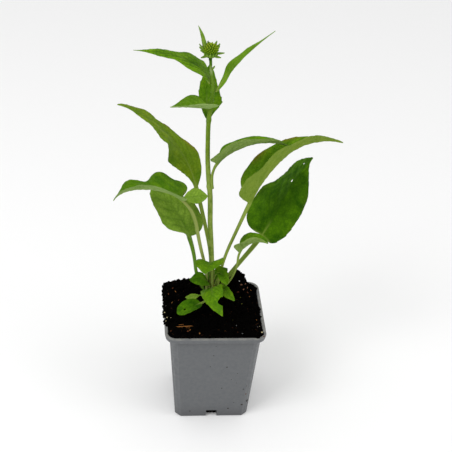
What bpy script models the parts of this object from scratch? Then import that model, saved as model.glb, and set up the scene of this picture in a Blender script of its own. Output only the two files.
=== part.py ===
"""A young coneflower in a square nursery pot.

Metres, +Z up. The origin is the centre of the pot's flat underside, +X is to the right as seen from the front
and +Y is to the back. Each leaf follows one rule: a midrib that turns and climbs by a few stated angles, with a
stalk first and then a blade whose two halves have their own width, outline and fold.
"""

import math
import random
from collections import namedtuple

import bmesh
import bpy
import numpy as np
from mathutils import Vector

# Pot: a thin square shell with rounded corners and a band round its rim
POT_HEIGHT = 0.097
POT_RIM_HALF = 0.045
POT_RIM_DEPTH = 0.005
POT_RIM_FLARE = 0.0008
POT_LIP_WIDTH = 0.0028
POT_BODY_TOP_HALF = 0.0407
POT_BODY_FOOT_HALF = 0.0333
POT_WALL = 0.001
POT_FLOOR = 0.0012
POT_FOOT_EDGE = 0.0005
POT_RIM_CORNER = 0.010
POT_TOP_CORNER = 0.007
POT_FOOT_CORNER = 0.0055
CORNER_STEPS = 5
NOTCH_WIDTH = 0.010
NOTCH_HEIGHT = 0.0055
WELL_DEPTH = 0.012

# Soil: it fills the pot to its lip and rises to a small flat crown that the plant grows from
SOIL_CLEARANCE = 0.0003
SOIL_EDGE = POT_HEIGHT - 0.0005
CROWN_X = -0.0005
CROWN_Y = 0.020
CROWN_Z = 0.103
CROWN_RADIUS = 0.013
MOUND_SPREAD = 0.026
SOIL_STEPS = (0.94, 0.82, 0.69, 0.55, 0.41, 0.27, 0.13)
SOIL_LUMP = 0.0022
SOIL_SEED = 5
CLOD_X = 0.025
CLOD_Y = 0.036
CLOD_RISE = 0.016
CLOD_SPREAD = 0.0065
HEAP_X = -0.026
HEAP_RISE = 0.0065
HEAP_SPREAD = 0.018
HEAP_START = 0.012

# Everything that grows from the soil starts this high
FOOT_Z = CROWN_Z + SOIL_CLEARANCE

# Main stem: height, sideways place and radius from the soil to under the flower bud
STEM_Y = 0.020
STEM_STATIONS = (
    (FOOT_Z, -0.0005, 0.0033), (0.106, -0.0005, 0.0027), (0.110, -0.0006, 0.0023), (0.122, -0.0010, 0.0021),
    (0.134, -0.0017, 0.0020), (0.153, -0.0030, 0.0020), (0.175, -0.0047, 0.0019), (0.208, -0.0063, 0.0019),
    (0.224, -0.0082, 0.0018), (0.239, -0.0095, 0.0017), (0.258, -0.0102, 0.0016), (0.278, -0.0103, 0.0016),
    (0.297, -0.0086, 0.0016), (0.309, -0.0078, 0.0015), (0.3245, -0.0103, 0.0013), (0.3345, -0.0110, 0.0013),
)
STEM_HEIGHTS, STEM_PLACES, STEM_RADII = zip(*STEM_STATIONS)
STEM_SIDES = 12

# Flower bud: a flattened green head in a ring of narrow bracts
BUD_X = -0.0113
BUD_Y = 0.020
BUD_Z = 0.3433
BUD_RADIUS = 0.0064
NECK_FOOT = STEM_HEIGHTS[-1] + SOIL_CLEARANCE
NECK_RADIUS = 0.0013
BUD_PROFILE = (
    (NECK_RADIUS, NECK_FOOT), (NECK_RADIUS, BUD_Z - 0.0068), (0.0030, BUD_Z - 0.0052), (0.0054, BUD_Z - 0.0030),
    (BUD_RADIUS, BUD_Z), (0.0054, BUD_Z + 0.0032), (0.0029, BUD_Z + 0.0050), (0.0, BUD_Z + 0.0056),
)
BRACTS = 9
BRACT_SEAT = 0.0045
BRACT_LENGTH = 0.0085
BRACT_HALF_WIDTH = 0.0015
BRACT_STALK_HALF = 0.0009
BRACT_DROP = 0.0015
BRACT_TURN = 15
LONG_BRACT_LENGTH = 0.021
LONG_BRACT_ASIDE = 0.003
LONG_BRACT_LIFT = 0.001

# Leaves: how thick and how finely divided they are
LEAF_THICKNESS_SHARE = 0.011
LEAF_LEAST_THICKNESS = 0.0006
LEAF_TIP_THICKNESS_SHARE = 0.35
RIB_SHARE = 1.5
STALK_DEPTH_SHARE = 0.7
STALK_FADE = 0.30
STALK_SPACING = 0.016
LONG_STALK = 0.045
STALK_GAP = 0.0003
BLADE_STEPS = (0.0, 0.04, 0.09, 0.16, 0.25, 0.35, 0.46, 0.58, 0.70, 0.81, 0.90, 0.96)
SMALL_BLADE_STEPS = (0.0, 0.08, 0.20, 0.35, 0.52, 0.70, 0.86, 0.95)
BRACT_STEPS = (0.0, 0.2, 0.45, 0.75)
SMALL_LEAF = 0.05
MIDRIB_POINTS = 121
LOBE_REACH = 0.45
LOBE_POWER = 1.5
CURL_POINTS = 5
STEM_GAP = 0.0005
HOLE_CUTTER_DEPTH = 0.012
HOLE_SIDES = 10

# One half of a blade, seen from above with the tip ahead: its width, the place of its widest point along the
# blade, the powers that round its base and its tip, the angle it folds up from the rib and how much that angle
# grows to the edge, in degrees, and how far its base reaches back
Half = namedtuple("Half", "width peak base tip fold curl lobe")

# A leaf: where it starts, its length with the stalk, the stalk's share of it and the stalk's half width, then
# the compass heading (0 is +X, 90 is +Y), the climb and the roll of its midrib, in degrees, evenly spaced from
# the foot to the tip, and its left and right halves
Leaf = namedtuple("Leaf", "foot length stalk stalk_half heading rise roll left right")

LEAVES = {
    "leaf_top_left": Leaf(
        (-0.0108, 0.0195, 0.3130), 0.074, 0.02, 0.0010, (172, 170, 175), (72, 26, 3, 1), (2, 10, -21),
        Half(0.0100, 0.30, 0.9, 1.8, -12, -8, -0.25), Half(0.0180, 0.10, 0.6, 1.8, 5, -5, -0.65)),
    "leaf_top_right": Leaf(
        (-0.0056, 0.0195, 0.3060), 0.072, 0.03, 0.0010, (-3, 2, 8), (50, 58, 44, 38), (12, 5, 0),
        Half(0.0065, 0.13, 0.8, 1.4, 42, 2, 0.15), Half(0.0060, 0.30, 0.6, 1.2, 26, -3, 0.0)),
    "leaf_behind_stem": Leaf(
        (-0.0103, 0.0226, 0.2780), 0.048, 0.02, 0.0010, (112, 89, 69), (68, 62, 54, 41), (1, -5),
        Half(0.0070, 0.38, 0.8, 0.9, 16, 1, 0.0), Half(0.0128, 0.26, 0.9, 0.7, 20, 3, -0.55)),
    "leaf_small_left": Leaf(
        (-0.0120, 0.0192, 0.2865), 0.034, 0.03, 0.0010, (220, 187, 166), (45, 20, 1, -14), (7, -7),
        Half(0.0146, 0.15, 0.6, 0.8, 40, 0, -0.20), Half(0.0150, 0.19, 1.4, 1.0, 36, -1, -0.15)),
    "leaf_stem_right": Leaf(
        (-0.0042, 0.0190, 0.2130), 0.0985, 0.29, 0.0009, (-34, -29, 0, -10), (110, 61, 34, 5, -17),
        (17, -10, -3),
        Half(0.0080, 0.19, 0.8, 0.8, 40, 0, -0.15), Half(0.0230, 0.14, 0.8, 0.8, 34, -2, -0.50)),
    "leaf_tall_left": Leaf(
        (-0.0020, 0.0260, FOOT_Z), 0.213, 0.49, 0.0012, (145, 147, 159, 194), (96, 75, 73, 46, 19),
        (-35, 23, 2),
        Half(0.0255, 0.45, 1.7, 1.9, -5, -14, -0.45), Half(0.0150, 0.24, 1.0, 0.7, 12, 1, -0.35)),
    "leaf_arching_left": Leaf(
        (-0.0055, 0.0175, FOOT_Z), 0.1905, 0.61, 0.0014, (202, 217, 225, 174, 134), (94, 73, 77, 48, -9, -57),
        (-4, 21, -29),
        Half(0.0206, 0.10, 0.3, 1.1, 30, -5, -0.50), Half(0.0234, 0.25, 0.4, 0.9, 30, -5, 0.65)),
    "leaf_broad_left": Leaf(
        (-0.0060, 0.0211, FOOT_Z), 0.119, 0.50, 0.0019, (182, 171, 159, 130), (58, 84, 71, 50, 29),
        (6, -16, -2),
        Half(0.0253, 0.41, 0.8, 0.5, 14, 1, -0.50), Half(0.0200, 0.21, 0.9, 1.3, 25, 1, 0.85)),
    "leaf_long_right": Leaf(
        (0.0042, 0.0205, FOOT_Z), 0.2105, 0.48, 0.0014, (-14, -11, -2, -12), (88, 72, 71, 43, -6), (5, 10, -4),
        Half(0.0200, 0.16, 0.3, 1.6, 35, 0, -0.10), Half(0.0300, 0.15, 1.1, 0.8, 48, -3, -0.20)),
    "leaf_broad_right": Leaf(
        (0.0060, 0.0250, FOOT_Z), 0.152, 0.44, 0.0014, (-6, 13, 27, 12), (60, 52, 64, 47), (40, -6, -5),
        Half(0.0385, 0.38, 0.6, 0.5, -12, -4, 0.40), Half(0.0223, 0.62, 0.3, 1.6, -23, -6, 0.40)),
    "leaf_folded_right": Leaf(
        (0.0070, 0.0218, FOOT_Z), 0.082, 0.59, 0.0011, (-5, -14, -21, -26), (34, 73, 90, 41, -14), (2, 17, -20),
        Half(0.0093, 0.41, 0.5, 0.7, 31, -1, -0.10), Half(0.0173, 0.38, 1.2, 1.5, 48, 0, -0.10)),
    "crown_leaf_cupped": Leaf(
        (-0.0010, 0.0158, FOOT_Z), 0.063, 0.63, 0.0007, (240, 252, 253), (90, 92, 72, 15, -28), (10, -8),
        Half(0.0126, 0.49, 0.6, 2.1, 25, -2, 0.0), Half(0.0123, 0.54, 0.6, 0.5, 20, -3, 0.55)),
    "crown_leaf_curled": Leaf(
        (0.0010, 0.0184, 0.1180), 0.023, 0.32, 0.0006, (-53, -48), (87, 48, -27, -72), (18, 8),
        Half(0.0078, 0.37, 0.3, 1.1, 54, 8, 0.50), Half(0.0053, 0.63, 0.9, 0.7, 21, -6, -0.35)),
    "crown_leaf_left": Leaf(
        (-0.0030, 0.0146, FOOT_Z), 0.034, 0.43, 0.0006, (240, 207, 188), (92, 80, 37, 0, -10), (-4, -4),
        Half(0.0118, 0.45, 0.6, 0.7, 1, -5, -0.25), Half(0.0072, 0.48, 0.6, 1.3, 22, 2, 0.0)),
    "crown_leaf_front": Leaf(
        (0.0002, 0.0143, FOOT_Z), 0.059, 0.19, 0.0009, (-112, -87, -51), (84, 16, -20, -31), (12, -1),
        Half(0.0105, 0.30, 0.8, 0.9, 17, 2, -0.40), Half(0.0105, 0.26, 0.3, 0.9, -8, -6, 0.70)),
    "crown_leaf_right": Leaf(
        (0.0018, 0.0162, FOOT_Z), 0.034, 0.32, 0.0006, (-56, -50), (76, 27, -22, -34), (-1, 7),
        Half(0.0044, 0.21, 0.6, 0.6, 28, 5, 0.10), Half(0.0070, 0.58, 1.0, 0.9, 15, 1, -0.10)),
    "crown_leaf_tiny": Leaf(
        (-0.0048, 0.0150, FOOT_Z), 0.022, 0.41, 0.0005, (212, 182), (35, 8, 2), (2, -6),
        Half(0.0059, 0.57, 0.9, 1.1, 2, -3, -0.35), Half(0.0032, 0.45, 0.7, 0.9, 12, 0, -0.05)),
    "crown_leaf_low": Leaf(
        (-0.0016, 0.0133, FOOT_Z), 0.046, 0.49, 0.0007, (274, 165), (33, 4, -5, -36), (0, -10),
        Half(0.0092, 0.70, 0.5, 0.5, 6, 0, -0.30), Half(0.0080, 0.45, 0.6, 0.5, 20, 5, 0.35)),
    "crown_leaf_back_right": Leaf(
        (0.0024, 0.0233, FOOT_Z), 0.028, 0.32, 0.0006, (60, 50), (80, 45, 10, -20), (5, -5),
        Half(0.0065, 0.45, 0.6, 0.9, 22, 0, 0.10), Half(0.0058, 0.40, 0.6, 0.9, 18, 0, 0.10)),
    "crown_leaf_back_left": Leaf(
        (0.0005, 0.0250, FOOT_Z), 0.024, 0.30, 0.0006, (95, 114), (74, 34, 0, -25), (-5, 5),
        Half(0.0056, 0.42, 0.6, 0.9, 20, 0, 0.10), Half(0.0055, 0.45, 0.6, 0.9, 24, 0, 0.10)),
}

# The small lobe that grows back over the stalk from the foot of the arching leaf's blade, where it starts
LOBED_LEAF = "leaf_arching_left"
LOBE_START = 0.0016
BASAL_LOBE = Leaf(
    (0.0, 0.0, 0.0), 0.0226, 0.10, 0.0009, (-1, 0, 1), (28, 21, 10), (4, 4),
    Half(0.0096, 0.53, 0.8, 1.0, 11, 0, 0.0), Half(0.0107, 0.48, 0.6, 0.6, 3, -2, 0.0))

# Holes and bites, all in a left half: the share along the blade, the share out from the rib, and the radius
HOLES = {
    "leaf_broad_right": ((0.67, 0.12, 0.0016), (0.88, 0.375, 0.0010)),
    "crown_leaf_low": ((0.67, 0.15, 0.0018),),
    "crown_leaf_front": ((0.72, 1.0, 0.0042),),
}

# Colours
POT_GREY = (0.145, 0.152, 0.162)
SOIL_BLACK = (0.018, 0.013, 0.010)
LEAF_GREEN = (0.085, 0.210, 0.018)
STEM_GREEN = (0.165, 0.260, 0.040)
STALK_GREEN = (0.140, 0.255, 0.035)
BUD_GREEN = (0.200, 0.300, 0.035)


def clear_scene():
    for item in list(bpy.data.objects):
        bpy.data.objects.remove(item, do_unlink=True)


def new_collection(name):
    made = bpy.data.collections.new(name)
    bpy.context.scene.collection.children.link(made)
    return made


def new_material(name, colour, roughness):
    made = bpy.data.materials.new(name)
    made.use_nodes = True
    shader = made.node_tree.nodes["Principled BSDF"]
    shader.inputs["Base Color"].default_value = (*colour, 1.0)
    shader.inputs["Roughness"].default_value = roughness
    shader.inputs["Metallic"].default_value = 0.0
    return made


def add_piece(name, shape, group, material):
    """Puts a bmesh in the scene as a named object with its own material."""
    mesh = bpy.data.meshes.new(name)
    bmesh.ops.recalc_face_normals(shape, faces=shape.faces)
    shape.to_mesh(mesh)
    shape.free()
    if material:
        mesh.materials.append(material)
    piece = bpy.data.objects.new(name, mesh)
    group.objects.link(piece)
    return piece


def add_cutter(name, shape, group):
    cutter = add_piece(name, shape, group, None)
    cutter.hide_render = True
    cutter.display_type = "WIRE"
    return cutter


def boolean(piece, other, operation):
    modifier = piece.modifiers.new(other.name, "BOOLEAN")
    modifier.operation = operation
    modifier.solver = "EXACT"
    modifier.object = other


def loft(rings):
    """A closed skin through rings with the same count of points. A last ring of one point is a tip."""
    shape = bmesh.new()
    rows = [[shape.verts.new(point) for point in ring] for ring in rings]
    for near, far in zip(rows, rows[1:]):
        for i, corner in enumerate(near):
            j = (i + 1) % len(near)
            if len(far) == 1:
                shape.faces.new((corner, near[j], far[0]))
            else:
                shape.faces.new((corner, near[j], far[j], far[i]))
    shape.faces.new(rows[0][::-1])
    if len(rows[-1]) > 1:
        shape.faces.new(rows[-1])
    return shape


def rounded_square(half, radius, height):
    """The points of a square with round corners, from the middle of its right side, counter-clockwise."""
    ring = []
    for corner in range(4):
        turn = corner * math.pi / 2
        ring.append((half * math.cos(turn), half * math.sin(turn), height))
        for step in range(CORNER_STEPS + 1):
            angle = turn + step * math.pi / 2 / CORNER_STEPS
            middle = turn + math.pi / 4
            reach = (half - radius) * math.sqrt(2)
            x = reach * math.cos(middle) + radius * math.cos(angle)
            y = reach * math.sin(middle) + radius * math.sin(angle)
            ring.append((x, y, height))
    return ring


def ring_of(x, y, radius, height):
    angles = [2 * math.pi * side / STEM_SIDES for side in range(STEM_SIDES)]
    return [(x + radius * math.cos(angle), y + radius * math.sin(angle), height) for angle in angles]


def side_box(name, side, inner, outer, width, low, high, group):
    """A box from inner to outer, both measured from the pot's middle towards one of its sides."""
    shape = bmesh.new()
    bmesh.ops.create_cube(shape, size=1.0)
    bmesh.ops.scale(shape, vec=(outer - inner, width, high - low), verts=shape.verts)
    box = add_cutter(f"{name}_{side}", shape, group)
    turn = side * math.pi / 2
    middle = (inner + outer) / 2
    box.location = (middle * math.cos(turn), middle * math.sin(turn), (low + high) / 2)
    box.rotation_euler = (0.0, 0.0, turn)
    return box


def build_pot(group, cutters):
    """The outer face, over the lip, down the inner face to the floor, with a drain well under each side."""
    rim_foot = POT_HEIGHT - POT_RIM_DEPTH
    inner_top = POT_BODY_TOP_HALF - POT_WALL
    inner_foot = POT_BODY_FOOT_HALF - POT_WALL
    rings = [
        rounded_square(POT_BODY_FOOT_HALF - POT_FOOT_EDGE, POT_FOOT_CORNER - POT_FOOT_EDGE, 0.0),
        rounded_square(POT_BODY_FOOT_HALF, POT_FOOT_CORNER, POT_FOOT_EDGE),
        rounded_square(POT_BODY_TOP_HALF, POT_TOP_CORNER, rim_foot),
        rounded_square(POT_RIM_HALF - POT_RIM_FLARE, POT_RIM_CORNER, rim_foot),
        rounded_square(POT_RIM_HALF, POT_RIM_CORNER, POT_HEIGHT),
        rounded_square(POT_RIM_HALF - POT_LIP_WIDTH, POT_RIM_CORNER - POT_LIP_WIDTH, POT_HEIGHT),
        rounded_square(inner_top, POT_TOP_CORNER - POT_WALL, rim_foot),
        rounded_square(inner_foot, POT_FOOT_CORNER - POT_WALL, POT_FLOOR),
    ]
    pot = add_piece("pot", loft(rings), group, new_material("pot_grey", POT_GREY, 0.45))
    inner = POT_BODY_FOOT_HALF - WELL_DEPTH
    for side in range(4):
        wall = (inner - POT_WALL, inner_foot + POT_WALL / 2, NOTCH_WIDTH + 2 * POT_WALL)
        housing = side_box("well_housing", side, *wall, POT_FLOOR / 2, NOTCH_HEIGHT + POT_WALL, cutters)
        boolean(pot, housing, "UNION")
    for side in range(4):
        outer = POT_BODY_FOOT_HALF + 2 * POT_WALL
        well = side_box("well_cutter", side, inner, outer, NOTCH_WIDTH, -NOTCH_HEIGHT, NOTCH_HEIGHT, cutters)
        boolean(pot, well, "DIFFERENCE")
    return pot


def soil_rise(x, y):
    """How far the soil's top stands over its edge: the mound, one clod and the heap at the back on the left."""
    mound = (CROWN_Z - SOIL_EDGE) * math.exp(-((x - CROWN_X) ** 2 + (y - CROWN_Y) ** 2) / MOUND_SPREAD**2)
    clod = CLOD_RISE * math.exp(-((x - CLOD_X) ** 2 + (y - CLOD_Y) ** 2) / CLOD_SPREAD**2)
    backward = min(1.0, max(0.0, (y - HEAP_START) / HEAP_SPREAD))
    heap = HEAP_RISE * backward * math.exp(-((x - HEAP_X) ** 2) / HEAP_SPREAD**2)
    return mound + clod + heap


def build_soil(group, cutters):
    """Rings up the pot's inner wall, then inwards over the lumpy top to the flat crown."""
    rim_foot = POT_HEIGHT - POT_RIM_DEPTH
    foot_half = POT_BODY_FOOT_HALF - POT_WALL - SOIL_CLEARANCE
    wall_half = POT_BODY_TOP_HALF - POT_WALL - SOIL_CLEARANCE
    lip_half = POT_RIM_HALF - POT_LIP_WIDTH - 2 * SOIL_CLEARANCE
    edge = rounded_square(lip_half, POT_RIM_CORNER - POT_LIP_WIDTH, SOIL_EDGE)
    rings = [
        rounded_square(foot_half, POT_FOOT_CORNER - POT_WALL, POT_FLOOR + SOIL_CLEARANCE),
        rounded_square(wall_half, POT_TOP_CORNER - POT_WALL, rim_foot),
        edge,
    ]
    lumps = random.Random(SOIL_SEED)
    for share in SOIL_STEPS + (0.0,):
        ring = []
        for x_edge, y_edge, _ in edge:
            away = math.atan2(y_edge - CROWN_Y, x_edge - CROWN_X)
            x_crown = CROWN_X + CROWN_RADIUS * math.cos(away)
            y_crown = CROWN_Y + CROWN_RADIUS * math.sin(away)
            x = x_crown + share * (x_edge - x_crown)
            y = y_crown + share * (y_edge - y_crown)
            lump = lumps.uniform(-0.3, 1.0) * SOIL_LUMP * share
            ring.append((x, y, SOIL_EDGE + soil_rise(x, y) + lump if share else CROWN_Z))
        rings.append(ring)
    soil = add_piece("soil", loft(rings), group, new_material("soil_black", SOIL_BLACK, 0.95))
    gap = POT_WALL + SOIL_CLEARANCE
    inner = POT_BODY_FOOT_HALF - WELL_DEPTH - gap
    for side in range(4):
        room = (inner, POT_BODY_FOOT_HALF, NOTCH_WIDTH + 2 * gap, 0.0, NOTCH_HEIGHT + gap)
        boolean(soil, side_box("soil_cutter", side, *room, cutters), "DIFFERENCE")
    return soil


def build_stem(group):
    """A tapering limb that leans and bends, flared where it leaves the soil and cut flat at both ends."""
    rings = [ring_of(place, STEM_Y, radius, height) for height, place, radius in STEM_STATIONS]
    return add_piece("main_stem", loft(rings), group, new_material("stem_green", STEM_GREEN, 0.5))


def clear_of_stem(points):
    """Moves points that come too near the stem straight out from it, so that a leaf's foot clasps it."""
    place = np.interp(points[:, 2], STEM_HEIGHTS, STEM_PLACES)
    radius = np.interp(points[:, 2], STEM_HEIGHTS, STEM_RADII) + STEM_GAP
    away = points[:, :2] - np.stack([place, np.full(len(points), STEM_Y)], axis=1)
    distance = np.maximum(np.linalg.norm(away, axis=1), 1e-6)
    push = np.where(points[:, 2] < STEM_HEIGHTS[-1], np.maximum(radius - distance, 0.0), 0.0)
    moved = points.copy()
    moved[:, :2] += away * (push / distance)[:, None]
    return moved


def midrib(leaf, shares):
    """Points of the midrib at these shares of the leaf's length, with the ways along, left and up there."""
    fine = np.linspace(0.0, 1.0, MIDRIB_POINTS)
    heading = np.radians(np.interp(fine, np.linspace(0, 1, len(leaf.heading)), leaf.heading))
    rise = np.radians(np.interp(fine, np.linspace(0, 1, len(leaf.rise)), leaf.rise))
    along = np.stack([np.cos(rise) * np.cos(heading), np.cos(rise) * np.sin(heading), np.sin(rise)], axis=1)
    up = np.stack([-np.sin(rise) * np.cos(heading), -np.sin(rise) * np.sin(heading), np.cos(rise)], axis=1)
    left = np.stack([-np.sin(heading), np.cos(heading), np.zeros_like(heading)], axis=1)
    steps = (along[1:] + along[:-1]) / 2 * leaf.length / (MIDRIB_POINTS - 1)
    centre = np.vstack([np.zeros(3), np.cumsum(steps, axis=0)]) + np.array(leaf.foot)
    return [np.stack([np.interp(shares, fine, way[:, axis]) for axis in range(3)], axis=1)
            for way in (centre, along, left, up)]


def half_outline(half, t):
    """How wide this half is at share t of the blade, against its widest."""
    if t < half.peak:
        return math.sin(math.pi / 2 * t / half.peak) ** half.base
    return max(0.0, math.cos(math.pi / 2 * (t - half.peak) / (1 - half.peak))) ** half.tip


def half_point(half, side, t, out, frame):
    """The upper face's point at share t along the blade and share out from the rib, and the normal there."""
    centre, along, left, up = frame
    angles = np.radians(half.fold + half.curl * np.linspace(0.0, out, CURL_POINTS))
    across = np.cos(angles).mean() * out
    lift = np.sin(angles).mean() * out
    back = half.lobe * max(0.0, 1 - t / LOBE_REACH) ** LOBE_POWER * out**LOBE_POWER
    width = half.width * half_outline(half, t)
    point = centre + width * (side * across * left + lift * up - back * along)
    normal = math.cos(angles[-1]) * up - side * math.sin(angles[-1]) * left
    return point, normal


def leaf_frame(leaf, share):
    """The rib's point and axes at this share of the leaf's length, turned by the leaf's roll over its blade."""
    centre, along, left, up = (way[0] for way in midrib(leaf, [share]))
    t = max(0.0, (share - leaf.stalk) / (1 - leaf.stalk))
    roll = math.radians(np.interp(t, np.linspace(0, 1, len(leaf.roll)), leaf.roll))
    rolled_left = math.cos(roll) * left + math.sin(roll) * up
    rolled_up = math.cos(roll) * up - math.sin(roll) * left
    return centre, along, rolled_left, rolled_up


def leaf_ring(leaf, share, t):
    """One section: an oval stalk that changes into the blade's thin folded lens."""
    frame = leaf_frame(leaf, share)
    centre, along, left, up = frame
    if share == 0 and leaf.foot[2] == FOOT_Z:
        heading = math.radians(leaf.heading[0])
        left = np.array([-math.sin(heading), math.cos(heading), 0.0])
        up = np.array([-math.cos(heading), -math.sin(heading), 0.0])
    thickness = max(LEAF_THICKNESS_SHARE * leaf.length, LEAF_LEAST_THICKNESS)
    narrower = min(leaf.left.width * half_outline(leaf.left, t), leaf.right.width * half_outline(leaf.right, t))
    blade = min(1.0, max(0.0, t) / STALK_FADE)
    wide = leaf.stalk_half * (1 - blade)
    deep = STALK_DEPTH_SHARE * wide
    thin = thickness * blade * min(1.0, max(narrower / thickness, LEAF_TIP_THICKNESS_SHARE))
    left_mid, left_normal = half_point(leaf.left, 1, t, 0.5, frame)
    right_mid, right_normal = half_point(leaf.right, -1, t, 0.5, frame)
    left_edge, _ = half_point(leaf.left, 1, t, 1.0, frame)
    right_edge, _ = half_point(leaf.right, -1, t, 1.0, frame)
    diagonal = math.sqrt(0.5)
    ring = [
        left_edge + wide * left,
        left_mid + diagonal * (wide * left + deep * up),
        centre + diagonal * deep * up,
        right_mid - diagonal * (wide * left - deep * up),
        right_edge - wide * left,
        right_mid - diagonal * (wide * left + deep * up) - thin * right_normal,
        centre - deep * up - RIB_SHARE * thin * up,
        left_mid + diagonal * (wide * left - deep * up) - thin * left_normal,
    ]
    return clear_of_stem(np.array(ring))


def stalk_shares(leaf):
    """Evenly spaced shares of the leaf's length from its foot to where the blade starts."""
    steps = math.ceil(leaf.stalk * leaf.length / STALK_SPACING)
    return [leaf.stalk * count / max(steps, 1) for count in range(steps + 1)]


def blade_shape(leaf, first_rings, blade_steps):
    """These rings, then sections along the blade to a pointed tip."""
    rings = first_rings + [leaf_ring(leaf, leaf.stalk + t * (1 - leaf.stalk), t) for t in blade_steps]
    tip = leaf_frame(leaf, 1.0)[0]
    return loft(rings + [[tip]])


def leaf_shape(leaf, blade_steps):
    """The stalk and the blade in one."""
    return blade_shape(leaf, [leaf_ring(leaf, share, 0.0) for share in stalk_shares(leaf)[:-1]], blade_steps)


def add_hole_cutter(name, leaf, place, group):
    """A short cylinder through the blade and square to its face."""
    t, out, radius = place
    frame = leaf_frame(leaf, leaf.stalk + t * (1 - leaf.stalk))
    point, normal = half_point(leaf.left, 1, t, out, frame)
    shape = bmesh.new()
    bmesh.ops.create_cone(
        shape, cap_ends=True, segments=HOLE_SIDES, radius1=radius, radius2=radius, depth=HOLE_CUTTER_DEPTH)
    cutter = add_cutter(name, shape, group)
    cutter.location = Vector(point)
    cutter.rotation_euler = Vector(normal).to_track_quat("Z", "Y").to_euler()
    return cutter


def build_leaves(group, cutters):
    """One piece a leaf, or two where it has a long stalk: the leaf bends where its blade starts."""
    for name, leaf in LEAVES.items():
        steps = SMALL_BLADE_STEPS if leaf.length < SMALL_LEAF else BLADE_STEPS
        if leaf.stalk * leaf.length > LONG_STALK:
            stalk = loft([leaf_ring(leaf, share, 0.0) for share in stalk_shares(leaf)])
            add_piece(f"{name}_stalk", stalk, group, new_material(f"{name}_stalk", STALK_GREEN, 0.5))
            start = leaf.stalk + STALK_GAP / leaf.length
            shape = blade_shape(leaf, [leaf_ring(leaf, start, 0.0)], steps[1:])
        else:
            shape = leaf_shape(leaf, steps)
        piece = add_piece(name, shape, group, new_material(name, LEAF_GREEN, 0.5))
        for count, place in enumerate(HOLES.get(name, ())):
            boolean(piece, add_hole_cutter(f"{name}_hole_{count}", leaf, place, cutters), "DIFFERENCE")
        if name == LOBED_LEAF:
            start = tuple(leaf_frame(leaf, leaf.stalk + LOBE_START / leaf.length)[0])
            lobe = leaf_shape(BASAL_LOBE._replace(foot=start), SMALL_BLADE_STEPS)
            boolean(piece, add_cutter("basal_lobe", lobe, cutters), "UNION")


def bract(start, length, heading, rise):
    half = Half(BRACT_HALF_WIDTH, 0.35, 0.6, 1.0, 15, 0, 0.0)
    return Leaf(start, length, 0.0, BRACT_STALK_HALF, (heading, heading), rise, (0, 0), half, half)


def build_bud(group, cutters):
    """The head and its neck in one turned shape, with the ring of bracts and one long bract joined on."""
    rings = [ring_of(BUD_X, BUD_Y, radius, height) for radius, height in BUD_PROFILE[:-1]]
    rings.append([(BUD_X, BUD_Y, BUD_PROFILE[-1][1])])
    bud = add_piece("flower_bud", loft(rings), group, new_material("bud_green", BUD_GREEN, 0.55))
    bracts = []
    for count in range(BRACTS):
        heading = 360 * count / BRACTS + BRACT_TURN
        turn = math.radians(heading)
        start = (BUD_X + BRACT_SEAT * math.cos(turn), BUD_Y + BRACT_SEAT * math.sin(turn), BUD_Z - BRACT_DROP)
        bracts.append(bract(start, BRACT_LENGTH, heading, (15, 35, 55)))
    start = (BUD_X - LONG_BRACT_ASIDE, BUD_Y, BUD_Z + LONG_BRACT_LIFT)
    bracts.append(bract(start, LONG_BRACT_LENGTH, 170, (80, 68, 60)))
    for count, leaf in enumerate(bracts):
        boolean(bud, add_cutter(f"bract_{count}", leaf_shape(leaf, BRACT_STEPS), cutters), "UNION")


def main():
    clear_scene()
    plant = new_collection("potted_coneflower")
    cutters = new_collection("cutters")
    build_pot(plant, cutters)
    build_soil(plant, cutters)
    build_stem(plant)
    build_bud(plant, cutters)
    build_leaves(plant, cutters)


main()
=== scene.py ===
# %% [markdown]
# # A potted coneflower
# The plain solids of the plant come in as a fixed frame: pot, soil, stem, bud and twenty leaves. This script
# puts a finished surface over each of them, in the same place and at the same size. All lengths are in
# metres.

# %% Load the frame
import math
import random
from collections import namedtuple

import bmesh
import bpy
import numpy as np
from mathutils import Matrix, Vector, noise


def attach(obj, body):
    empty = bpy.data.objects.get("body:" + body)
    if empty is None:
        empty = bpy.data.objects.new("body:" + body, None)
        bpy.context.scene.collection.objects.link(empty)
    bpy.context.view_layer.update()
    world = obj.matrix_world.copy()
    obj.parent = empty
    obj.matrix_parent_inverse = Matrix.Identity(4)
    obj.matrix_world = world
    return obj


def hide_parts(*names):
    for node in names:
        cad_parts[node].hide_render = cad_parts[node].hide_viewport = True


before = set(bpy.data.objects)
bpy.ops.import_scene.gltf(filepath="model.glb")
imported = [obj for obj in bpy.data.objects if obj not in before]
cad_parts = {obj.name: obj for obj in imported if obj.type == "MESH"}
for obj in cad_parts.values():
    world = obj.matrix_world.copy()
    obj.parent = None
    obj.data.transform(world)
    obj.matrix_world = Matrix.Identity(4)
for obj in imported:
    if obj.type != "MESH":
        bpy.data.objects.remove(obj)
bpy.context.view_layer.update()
print("nodes in the frame:", len(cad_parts))

# %% [markdown]
# ## The viewpoint
# The photograph looks down on the pot from a little to its left. A camera is a place and three directions:
# ahead, to the right and up. Blender's camera looks along its own -Z, so those three directions fill the
# columns of its matrix.

# %% Place the camera
PHOTO_PIXELS = 452
FOCAL_PIXELS = 1203
SENSOR_WIDTH_MM = 36.0
CAMERA_PLACE = Vector((-0.086, -0.883, 0.738))
CAMERA_YAW = math.radians(6.03)
CAMERA_PITCH = math.radians(31.84)
CAMERA_ROLL = math.radians(3.27)
NEAREST_SEEN = 0.01

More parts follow.
